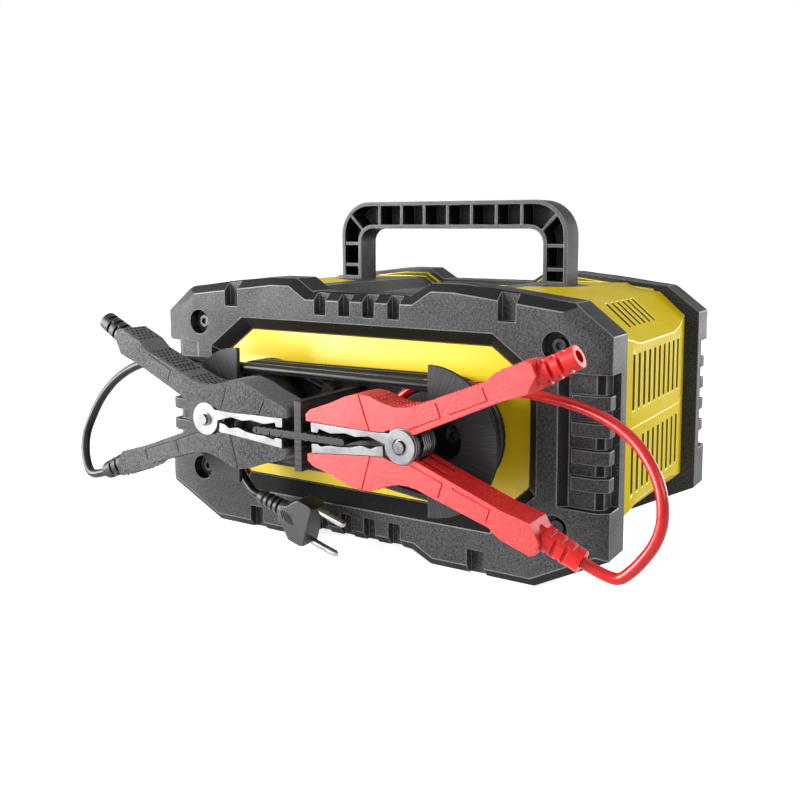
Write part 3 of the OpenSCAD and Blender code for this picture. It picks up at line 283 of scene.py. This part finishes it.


# Paler copies of the plastics for the faces of rounded edges, by slot: a painted highlight along the edges
EDGE_HIGHLIGHTS = {
    "black_plastic": grained_plastic("black_edge_highlight", (0.1, 0.1, 0.103), (0.2, 0.2, 0.205), 0.4, 900,
                                     0.00002, 0.3),
    "handle_black": grained_plastic("handle_edge_highlight", (0.1, 0.1, 0.103), (0.2, 0.2, 0.205), 0.4, 900,
                                    0.00002, 0.3),
    "shell_yellow": smooth_plastic("shell_edge_highlight", (0.85, 0.72, 0.1), (0.95, 0.82, 0.16), 0.35),
}


# A darker, finer and duller copy of the black plastic for faces that don't look to the front or the rear, by
# node:
# painted shade, so that tops and sides read darker than the fronts; each node has the largest x that the
# normal of such a face has; past 1 it takes the side faces too
SHADED_FLANKS = {"front_bumper": 0.9, "rear_bumper": 0.9, "handle": 1.1}
FLANK_Y = 0.85  # the largest y of such a normal
FLANK_PAINTED_SHADE = grained_plastic("black_flank_painted_shade", (0.003, 0.003, 0.0035), (0.018, 0.018, 0.019), 0.5, 1300,
                             0.0001, 0.1)

# The black clamp's backs, between the dark studs, in a paler copy of its plastic: painted light, as if
# lamplight fell on them
LIT_BACKS = {"black_upper_lever", "black_lower_lever"}
BACK_PAINTED_LIGHT = grained_plastic("clamp_back_painted_light", (0.09, 0.09, 0.092), (0.24, 0.24, 0.245), 0.55, 1250, 0.0002, 0.1)

# The shells' slots, whose walls look to the front or the rear, in a darker copy of the yellow: painted shade
# in the slots
SHADED_SLOT_SHELLS = {"upper_shell", "lower_shell"}
SLOT_Y = 0.9  # the smallest y of such a wall's normal
SLOT_PAINTED_SHADE = grained_plastic("slot_yellow_painted_shade", (0.13, 0.1, 0.001), (0.2, 0.155, 0.002), 0.6, 1300, 0.00004,
                            0.05)


# ---------------------------------------------------------------- dressing CAD shapes
FLAT_DEG = 0.6  # triangles that meet at less than this are one face
SAME_POINT = 2e-6  # metres
ROUNDING_SEGMENTS = 2
ROUNDING_DEG = 30  # edges sharper than this are rounded
SHARP_MITRES = {"handle"}  # nodes whose rounded corners would otherwise pass the box of the CAD shape
SLOT_OF = {row["node"]: row["material_slot"] for row in frame["record"]["subparts"]}
BODY_OF = {node: body for body, members in frame["record"]["behaviour"]["bodies"].items()
           for node in members}


def cleaned_copy(node):
    """The node's mesh with its triangles joined back into faces."""
    mesh = nodes[node].data.copy()
    bm = bmesh.new()
    bm.from_mesh(mesh)
    bmesh.ops.remove_doubles(bm, verts=bm.verts, dist=SAME_POINT)
    bmesh.ops.dissolve_limit(bm, angle_limit=math.radians(FLAT_DEG), verts=bm.verts, edges=bm.edges)
    bmesh.ops.connect_verts_concave(bm, faces=bm.faces)
    bm.to_mesh(mesh)
    bm.free()
    mesh.materials.clear()
    for polygon in mesh.polygons:
        polygon.use_smooth = True
    return mesh


def skin_faces(piece, skin, belongs):
    """Gives the faces whose normal belongs(normal) picks a material of their own."""
    piece.data.materials.append(skin)
    for polygon in piece.data.polygons:
        if belongs(polygon.normal):
            polygon.material_index = len(piece.data.materials) - 1


def dress(node, bevel, slot):
    """A new piece in place of a CAD node: its shape, with edges rounded by bevel mm, in a real material."""
    piece = bpy.data.objects.new(node + "_skin", cleaned_copy(node))
    scene.collection.objects.link(piece)
    piece.data.materials.append(MATERIALS[slot])
    # a second slot for the painted highlight on rounded edges
    if slot in EDGE_HIGHLIGHTS:
        piece.data.materials.append(EDGE_HIGHLIGHTS[slot])
    if node in SHADED_FLANKS:
        # tops and sides take the painted shade
        skin_faces(piece, FLANK_PAINTED_SHADE, lambda n: abs(n.y) < FLANK_Y and abs(n.x) < SHADED_FLANKS[node])
    if node in LIT_BACKS:
        # the lever backs take the painted light
        skin_faces(piece, BACK_PAINTED_LIGHT, lambda n: abs(n.y) < FLANK_Y)
    if node in SHADED_SLOT_SHELLS:
        # the slot walls take the painted shade
        skin_faces(piece, SLOT_PAINTED_SHADE, lambda n: abs(n.y) > SLOT_Y)
    rounding = piece.modifiers.new("rounding", "BEVEL")
    rounding.width = bevel * MM
    rounding.segments = ROUNDING_SEGMENTS
    rounding.limit_method = "ANGLE"
    rounding.angle_limit = math.radians(ROUNDING_DEG)
    rounding.use_clamp_overlap = False
    rounding.miter_outer = "MITER_SHARP" if node in SHARP_MITRES else "MITER_ARC"
    # the faces of rounded edges take the paler copy, a painted highlight
    if slot in EDGE_HIGHLIGHTS:
        rounding.material = 1
    shading = piece.modifiers.new("shading", "WEIGHTED_NORMAL")
    shading.keep_sharp = True
    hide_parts(node)
    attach(piece, BODY_OF[node])
    return piece


# ---------------------------------------------------------------- small raised details
# Outer edge of a lever from its nose to its handle, as in the CAD source: u along it, w out from the pivot
LEVER_BACK = [(-24, 24.2), (-18, 23.6), (-10, 20.6), (-3, 18.9), (3, 19), (9, 20.3), (17, 23.1),
              (45.8, 33.4), (51.2, 38), (66, 43.8)]
GRIP_PATCHES = [(-15.5, 12.0), (20.0, 42.6), (53.2, 64.4)]  # u of the dotted patches' ends
DOT_PITCH = 2.6
DOT_R = 0.8
DOT_H = 0.55
DOT_ROOT = 0.15  # how far a stud reaches into the lever
DOT_SIDES = 10
DOT_RINGS = [(DOT_R, -DOT_ROOT), (DOT_R, DOT_H * 0.45), (DOT_R * 0.78, DOT_H * 0.85), (DOT_R * 0.4, DOT_H)]
DOT_ROWS = [(-6, -3, 0, 3, 6), (-4.5, -1.5, 1.5, 4.5)]  # places across the lever, in turn


def on_back(u):
    """A point of the lever's outer edge and the edge's outward normal there."""
    for (u0, w0), (u1, w1) in zip(LEVER_BACK, LEVER_BACK[1:]):
        if u <= u1:
            share = (u - u0) / (u1 - u0)
            out = Vector((w0 - w1, u1 - u0)).normalized()
            return Vector((u, w0 + (w1 - w0) * share)), out
    raise ValueError(u)


def turn_faces_out(mesh):
    bm = bmesh.new()
    bm.from_mesh(mesh)
    bmesh.ops.recalc_face_normals(bm, faces=bm.faces)
    bm.to_mesh(mesh)
    bm.free()


def new_piece(name, vertices, faces, slot, body, smooth=True):
    """A piece from vertices in metres and faces of any turn."""
    mesh = bpy.data.meshes.new(name)
    mesh.from_pydata(vertices, [], faces)
    mesh.update()
    for polygon in mesh.polygons:
        polygon.use_smooth = smooth
    turn_faces_out(mesh)
    piece = bpy.data.objects.new(name, mesh)
    scene.collection.objects.link(piece)
    mesh.materials.append(MATERIALS[slot])
    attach(piece, body)
    return piece


def stud_faces(base):
    """The faces of a stud whose first vertex is base: its rings' walls and its top."""
    walls = []
    for j in range(len(DOT_RINGS) - 1):
        for k in range(DOT_SIDES):
            a = base + j * DOT_SIDES + k
            b = base + j * DOT_SIDES + (k + 1) % DOT_SIDES
            walls.append((a, b, b + DOT_SIDES, a + DOT_SIDES))
    top = base + (len(DOT_RINGS) - 1) * DOT_SIDES
    return [*walls, tuple(top + k for k in range(DOT_SIDES))]


def grip_dots(lever, side, up):
    """Rows of low round studs on a lever's back; side is 1 for the red clamp, up is 1 for its upper half."""
    c, s = cos_sin(CLAMP_TILT)

    def place(u, w, v):
        return (side * (PIVOT_X + u * c - up * w * s) * MM, (FRONT_Y - CLAMP_Y + v) * MM,
                (PIVOT_Z + u * s + up * w * c) * MM)

    vertices, faces = [], []
    for low, high in GRIP_PATCHES:
        count = int((high - low) / DOT_PITCH)
        for i in range(count + 1):
            middle, out = on_back(low + (high - low) * i / count)
            along = Vector((out.y, -out.x))
            for v in DOT_ROWS[i % 2]:
                base = len(vertices)
                for radius, height in DOT_RINGS:
                    for k in range(DOT_SIDES):
                        a = 2 * math.pi * k / DOT_SIDES
                        q = middle + out * height + along * radius * math.cos(a)
                        vertices.append(place(q.x, q.y, v + radius * math.sin(a)))
                faces += stud_faces(base)
    # the black clamp's studs take the darker boot rubber: painted shade on the studs
    slot = "clamp_red" if side > 0 else "boot_black"
    new_piece(lever.replace("lever", "grip"), vertices, faces, slot, BODY_OF[lever])


def box_between(a, b, half_width, half_height, side_dir, up_dir):
    """Eight corners and six faces of a bar from a to b."""
    corners = []
    for end in (a, b):
        for x, y in ((-1, -1), (1, -1), (1, 1), (-1, 1)):
            corners.append(tuple(end + side_dir * x * half_width + up_dir * y * half_height))
    return corners, [(0, 3, 2, 1), (4, 5, 6, 7), (0, 1, 5, 4), (1, 2, 6, 5), (2, 3, 7, 6), (3, 0, 4, 7)]


PLUG_HALF = 6.8  # half of the plug body's thickness
HATCH_HALVES = (2.2, 3.2, 3.8, 3.8, 3.0)  # half lengths of the ridges, from the strain relief outward
HATCH_START = 2.4  # the first ridge's distance from the relief's end
HATCH_PITCH = 1.75
HATCH_SLANT = 50  # degrees to the plug's axis
RIDGE_HALF_W = 0.2
RIDGE_HALF_H = 0.22
RIDGE_LIFT = 0.02


def plug_hatch():
    """Slanted grip ridges on both flat sides of the plug, beside its strain relief."""
    axis = RELIEF_AXIS
    up = Vector((-axis.z, 0, axis.x))
    depth = Vector((0, 1, 0))
    c, s = cos_sin(HATCH_SLANT)
    slope = axis * c - up * s
    square = slope.cross(depth).normalized()
    vertices, faces = [], []
    for face in (-1, 1):
        for i, half in enumerate(HATCH_HALVES):
            u = HATCH_START + HATCH_PITCH * i
            middle = RELIEF_NOSE + axis * u + depth * face * (PLUG_HALF + RIDGE_LIFT)
            corners, sides = box_between(middle - slope * half, middle + slope * half, RIDGE_HALF_W,
                                         RIDGE_HALF_H, square, depth)
            faces += [tuple(len(vertices) + k for k in f) for f in sides]
            vertices += [(x * MM, (y + FRONT_Y) * MM, z * MM) for x, y, z in corners]
    piece = new_piece("plug_grip", vertices, faces, "boot_black", "charger", smooth=False)
    # the ridges take the painted shade, so that they read as shaded grooves
    piece.data.materials[0] = FLANK_PAINTED_SHADE
    return piece


# ---------------------------------------------------------------- camera
# The photograph's camera, fitted to the housing's edges
SENSOR = 36  # mm
LENS = 41.73  # mm
SHIFT = (-0.0374, -0.089)
CAMERA_PLACE = (0.2979, -0.4804, 0.1836)
CAMERA_DIP = 6.28  # degrees below level
CAMERA_TURN = 30.88  # degrees round from straight in front


def make_camera():
    data = bpy.data.cameras.new("camera")
    data.sensor_width = SENSOR
    data.lens = LENS
    data.shift_x, data.shift_y = SHIFT
    camera = bpy.data.objects.new("camera", data)
    camera.location = CAMERA_PLACE
    camera.rotation_euler = (math.radians(90 - CAMERA_DIP), 0, math.radians(CAMERA_TURN))
    scene.collection.objects.link(camera)
    scene.camera = camera


# ---------------------------------------------------------------- cords
# Angles round a hub, in degrees
TOP = 90
LEFT = 180
BOTTOM = 270

# x of the points along the winder's straight runs; the mains cord's upper ones each have the share of the
# way to its next turn too
BLACK_TOP_RUN = (50, 20, -15, -50, -60)
MAINS_LOW_RUN = (-40, 0, 40)
MAINS_TOP_RUN = ((50, 0.1), (20, 0.42), (-10, 0.75), (-40, 1.0))
RED_FOOT_DROP = 15  # how far under the hub's middle the red cord comes to it
RED_TOP_REACH = 10  # how far past the hub's middle it leaves it


def on_hub(side, angle, depth):
    """A point of the winding circle of a hub; side is 1 for the right one, -1 for the left one."""
    c, s = cos_sin(angle)
    return Vector((side * HUB_X + WIND_R * c, depth, HUB_Z + WIND_R * s))


def touch(point, side, turn):
    """Angle at which a straight line from point touches the winding circle of a hub, on the turn side."""
    dx, dz = point[0] - side * HUB_X, point[1] - HUB_Z
    return math.degrees(math.atan2(dz, dx)) + turn * math.degrees(math.acos(WIND_R / math.hypot(dx, dz)))


def hub_arc(side, start, end, depth, step=6):
    """Points round a hub from angle start to angle end, about step degrees apart."""
    count = max(2, int(abs(end - start) / step))
    return [on_hub(side, start + (end - start) * i / count, depth) for i in range(count + 1)]


def black_winding():
    start = Vector((BLACK_START[0], SLOT_BLACK, BLACK_START[1]))
    first = touch(BLACK_START, 1, 1) + 360
    return [start, *hub_arc(1, first, 360 + TOP, SLOT_BLACK),
            *[Vector((x, SLOT_BLACK, HUB_Z + WIND_R)) for x in BLACK_TOP_RUN]]


def red_winding():
    foot = Vector((HUB_X - WIND_R, SLOT_RED, HUB_Z - RED_FOOT_DROP))
    return [foot, foot + Vector((0, 0, CORD_D)), *hub_arc(1, LEFT, TOP, SLOT_RED),
            Vector((HUB_X + RED_TOP_REACH, SLOT_RED, HUB_Z + WIND_R))]


def mains_winding():
    start = Vector((MAINS_START[0], SLOT_MAINS, MAINS_START[1]))
    points = [start, *hub_arc(-1, touch(MAINS_START, -1, 1), BOTTOM, SLOT_MAINS)]
    for turn in range(MAINS_TURNS - 1):
        here = SLOT_MAINS - turn * MAINS_PITCH
        there = here - MAINS_PITCH
        last = MAINS_LEAVE if turn == MAINS_TURNS - 2 else BOTTOM
        points += [Vector((x, here, HUB_Z - WIND_R)) for x in MAINS_LOW_RUN]
        points += hub_arc(1, -TOP, TOP, here)
        points += [Vector((x, here + (there - here) * share, HUB_Z + WIND_R)) for x, share in MAINS_TOP_RUN]
        points += hub_arc(-1, TOP, last, there)
    c, s = cos_sin(MAINS_LEAVE)
    points.append(points[-1] + CORD_D * Vector((-s, 0, c)))
    return points


def clamp_point(side, u, w):
    """A point of the lower half of a clamp; side is 1 for the red one."""
    c, s = cos_sin(CLAMP_TILT)
    return Vector((side * (PIVOT_X + u * c + w * s), -CLAMP_Y, PIVOT_Z + u * s - w * c))


def in_boot(side, out):
    """A point on the axis of a lower boot, out from its mouth."""
    c, s = cos_sin(BOOT_ANGLE)
    reach = BOOT_LEN + out
    return clamp_point(side, BOOT_ROOT[0] + reach * c, BOOT_ROOT[1] + reach * s)


# x, depth and z of the cords' free parts, as in the CAD source
RED_ROUTE = [(100, -17, 105.3), (112, -18, 104.4), (124, -19.5, 103.4), (137, -22, 102), (150, -25, 99.4),
             (161, -28, 95.6), (171, -31.5, 90), (179, -36, 83), (184.5, -40, 75.5), (187.3, -43, 67.5),
             (187.6, -44.5, 59), (185, -45, 50.5), (180, -45, 42.5), (174.5, -45, 36), (169, -44.6, 32)]
BLACK_ROUTE = [(-82, -22.3, 104.4), (-94, -22.6, 104.6), (-106, -24, 104.6), (-120, -25.8, 104),
               (-135, -27.5, 102), (-148, -28.5, 97.5), (-159, -29.5, 91.2), (-168, -30.5, 83.5),
               (-175, -32, 74.5), (-179.5, -34, 65), (-181.5, -37, 55.5), (-180, -40, 46.5),
               (-175.5, -42.8, 38), (-169.5, -44.3, 32.3)]
MAINS_ROUTE = [(-81.3, -12.4, 49.7), (-77.5, -13.2, 43.2), (-72.9, -14.4, 37.4), (-67, -15.9, 32.5)]


def smoothed(points, step=2.5):
    """Centripetal Catmull-Rom curve through the points, sampled about every step millimetres."""
    ends = [2 * points[0] - points[1], *points, 2 * points[-1] - points[-2]]
    out = []
    for k in range(len(points) - 1):
        p0, p1, p2, p3 = ends[k : k + 4]
        t1 = max(1e-6, (p1 - p0).length) ** 0.5
        t2 = t1 + max(1e-6, (p2 - p1).length) ** 0.5
        t3 = t2 + max(1e-6, (p3 - p2).length) ** 0.5
        count = max(1, round((p2 - p1).length / step))
        for i in range(count):
            t = t1 + (t2 - t1) * i / count
            a1 = p0 * ((t1 - t) / t1) + p1 * (t / t1)
            a2 = p1 * ((t2 - t) / (t2 - t1)) + p2 * ((t - t1) / (t2 - t1))
            a3 = p2 * ((t3 - t) / (t3 - t2)) + p3 * ((t - t2) / (t3 - t2))
            b1 = a1 * ((t2 - t) / t2) + a2 * (t / t2)
            b2 = a2 * ((t3 - t) / (t3 - t1)) + a3 * ((t - t1) / (t3 - t1))
            out.append(b1 * ((t2 - t) / (t2 - t1)) + b2 * ((t - t1) / (t2 - t1)))
    return [*out, points[-1]]


def make_cord(name, points, slot, replaced):
    """A smooth cord through points given as x, depth, z in millimetres."""
    line = [Vector((p[0], p[1] + FRONT_Y, p[2])) * MM for p in points]
    data = bpy.data.curves.new(name, "CURVE")
    data.dimensions = "3D"
    data.bevel_depth = CORD_D / 2 * MM
    data.bevel_resolution = 5
    data.use_fill_caps = True
    spline = data.splines.new("POLY")
    spline.points.add(len(line) - 1)
    for point, place in zip(spline.points, line):
        point.co = (*place, 1)
    spline.use_smooth = True
    cord = bpy.data.objects.new(name, data)
    scene.collection.objects.link(cord)
    data.materials.append(MATERIALS[slot])
    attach(cord, "charger")
    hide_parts(*replaced)
    return cord


def make_cords():
    red_free = [Vector(p) for p in RED_ROUTE] + [in_boot(1, 5), in_boot(1, 0), in_boot(1, -6)]
    black_free = [Vector(p) for p in BLACK_ROUTE] + [in_boot(-1, 5), in_boot(-1, 0), in_boot(-1, -6)]
    mains_free = [Vector(p) for p in MAINS_ROUTE] + [RELIEF_TAIL - CORD_D * RELIEF_AXIS, RELIEF_TAIL]
    make_cord("red_cord", smoothed(red_winding() + red_free), "cord_red", ["red_winding", "red_lead"])
    make_cord("black_cord", smoothed(black_winding() + black_free), "cord_black",
              ["black_winding", "black_lead"])
    make_cord("mains_cable", smoothed(mains_winding() + mains_free), "cord_black",
              ["mains_winding", "mains_cord"])


# ---------------------------------------------------------------- stage and light
def seen_directly(tree):
    """1 for camera, mirror and glass rays, which show the white background."""
    path = tree.nodes.new("ShaderNodeLightPath")
    total = path.outputs["Is Camera Ray"]
    for name in ("Is Glossy Ray", "Is Transmission Ray"):
        add = tree.nodes.new("ShaderNodeMath")
        add.operation = "ADD"
        add.use_clamp = True
        tree.links.new(total, add.inputs[0])
        tree.links.new(path.outputs[name], add.inputs[1])
        total = add.outputs[0]
    return total


FLOOR_HALF = 6.0  # metres
FLOOR_DROP = 0.0004  # metres that the floor lies under the object
FLOOR_WHITE = (0.82, 0.82, 0.82, 1)
GLOW_NEAR, GLOW_FAR = 0.4, 1.2  # metres from the middle between which the floor's glow rises
GLOW_LOW, GLOW_HIGH = 0.84, 1.0  # so that floor and lamplight together show white


def floor_material():
    """A pale floor for all other light, which cameras, mirrors and glass see as white with its shadow."""
    material = bpy.data.materials.new("floor")
    material.use_nodes = True
    tree = material.node_tree
    shader = tree.nodes["Principled BSDF"]
    shader.inputs["Base Color"].default_value = FLOOR_WHITE
    shader.inputs["Roughness"].default_value = 0.9
    shader.inputs["Specular IOR Level"].default_value = 0.0
    glow = tree.nodes.new("ShaderNodeEmission")
    glow.inputs["Color"].default_value = (1, 1, 1, 1)
    place = tree.nodes.new("ShaderNodeTexCoord")
    length = tree.nodes.new("ShaderNodeVectorMath")
    length.operation = "LENGTH"
    fade = tree.nodes.new("ShaderNodeMapRange")
    fade.inputs["From Min"].default_value = GLOW_NEAR
    fade.inputs["From Max"].default_value = GLOW_FAR
    fade.inputs["To Min"].default_value = GLOW_LOW
    fade.inputs["To Max"].default_value = GLOW_HIGH
    tree.links.new(place.outputs["Object"], length.inputs[0])
    tree.links.new(length.outputs["Value"], fade.inputs["Value"])
    tree.links.new(fade.outputs["Result"], glow.inputs["Strength"])
    both = tree.nodes.new("ShaderNodeAddShader")
    pick = tree.nodes.new("ShaderNodeMixShader")
    output = tree.nodes["Material Output"]
    tree.links.new(shader.outputs[0], both.inputs[0])
    tree.links.new(glow.outputs[0], both.inputs[1])
    tree.links.new(seen_directly(tree), pick.inputs[0])
    tree.links.new(shader.outputs[0], pick.inputs[1])
    tree.links.new(both.outputs[0], pick.inputs[2])
    tree.links.new(pick.outputs[0], output.inputs[0])
    return material


def make_floor():
    mesh = bpy.data.meshes.new("floor")
    half = FLOOR_HALF
    mesh.from_pydata([(-half, -half, 0), (half, -half, 0), (half, half, 0), (-half, half, 0)], [],
                     [(0, 1, 2, 3)])
    floor = bpy.data.objects.new("floor", mesh)
    floor.location.z = -FLOOR_DROP
    scene.collection.objects.link(floor)
    mesh.materials.append(floor_material())


# name, azimuth (0 in front, positive to the right) and elevation in degrees, distance in metres,
# width and height in metres, power in watts
LAMPS = [
    ("key", -50, 9, 1.0, (0.62, 0.62), 26),
    ("front", -12, 20, 1.5, (0.9, 0.5), 3),
    ("top", 0, 80, 1.5, (0.9, 0.9), 1),
    ("side", 70, 36, 1.5, (0.6, 0.6), 8),
    ("rear", 146, 6, 1.2, (0.4, 0.7), 10),
]
LAMP_TARGET = Vector((0, 0, 0.08))
ROOM_COLOUR = (0.92, 0.95, 1.0, 1)
ROOM_STRENGTH = 0.2


def area_light(name, azimuth, elevation, distance, size, power):
    """A soft box aimed at the lamps' target."""
    a, e = math.radians(azimuth), math.radians(elevation)
    data = bpy.data.lights.new(name, "AREA")
    data.shape = "RECTANGLE"
    data.size, data.size_y = size
    data.energy = power
    light = bpy.data.objects.new(name, data)
    away = Vector((math.sin(a) * math.cos(e), -math.cos(a) * math.cos(e), math.sin(e)))
    light.location = LAMP_TARGET + away * distance
    light.rotation_euler = (-away).to_track_quat("-Z", "Y").to_euler()
    scene.collection.objects.link(light)


def make_light():
    """A dim room, seen as white by cameras, mirrors and glass, and the lamps."""
    world = bpy.data.worlds.new("studio")
    scene.world = world
    world.use_nodes = True
    tree = world.node_tree
    tree.nodes.clear()
    room = tree.nodes.new("ShaderNodeBackground")
    room.inputs["Color"].default_value = ROOM_COLOUR
    room.inputs["Strength"].default_value = ROOM_STRENGTH
    white = tree.nodes.new("ShaderNodeBackground")
    white.inputs["Color"].default_value = (1, 1, 1, 1)
    white.inputs["Strength"].default_value = 1.0
    pick = tree.nodes.new("ShaderNodeMixShader")
    output = tree.nodes.new("ShaderNodeOutputWorld")
    tree.links.new(seen_directly(tree), pick.inputs[0])
    tree.links.new(room.outputs[0], pick.inputs[1])
    tree.links.new(white.outputs[0], pick.inputs[2])
    tree.links.new(pick.outputs[0], output.inputs[0])
    for lamp in LAMPS:
        area_light(*lamp)
    scene.view_settings.view_transform = "Standard"


# ---------------------------------------------------------------- assembly
# How far edges are rounded, in millimetres, by node; narrow where a wider bevel would leave the shape
BEVELS = {
    "front_bumper": 0.4, "rear_bumper": 0.4, "front_panel": 0.5, "rear_panel": 0.5,
    "upper_shell": 0.4, "lower_shell": 0.4, "top_cap": 0.4, "handle": 0.4,
    "cable_winder": 0.4, "clamp_holder": 0.3, "lead_glands": 0.5,
    "red_upper_lever": 0.25, "red_lower_lever": 0.25, "black_upper_lever": 0.08, "black_lower_lever": 0.25,
    "plug_body": 0.8, "plug_strain_relief": 0.3, "control_panel": 0.5, "fan_rotor": 0.08, "plug_pins": 0.07,
}
FINE = 0.2  # the rounding of all other nodes
CORD_NODES = {"red_winding", "black_winding", "mains_winding", "red_lead", "black_lead", "mains_cord"}
OTHER_SLOT = {"red_pivot_pin": "spring_steel", "black_pivot_pin": "spring_steel"}  # brighter than screws


def dress_all():
    return {node: dress(node, BEVELS.get(node, FINE), OTHER_SLOT.get(node, SLOT_OF[node]))
            for node in nodes if node not in CORD_NODES}


def make_details():
    for colour, side in (("red", 1), ("black", -1)):
        for half, up in (("upper", 1), ("lower", -1)):
            grip_dots(f"{colour}_{half}_lever", side, up)


make_camera()
pieces = dress_all()
pieces["plug_grip"] = plug_hatch()
make_cords()
make_details()
make_floor()
make_light()
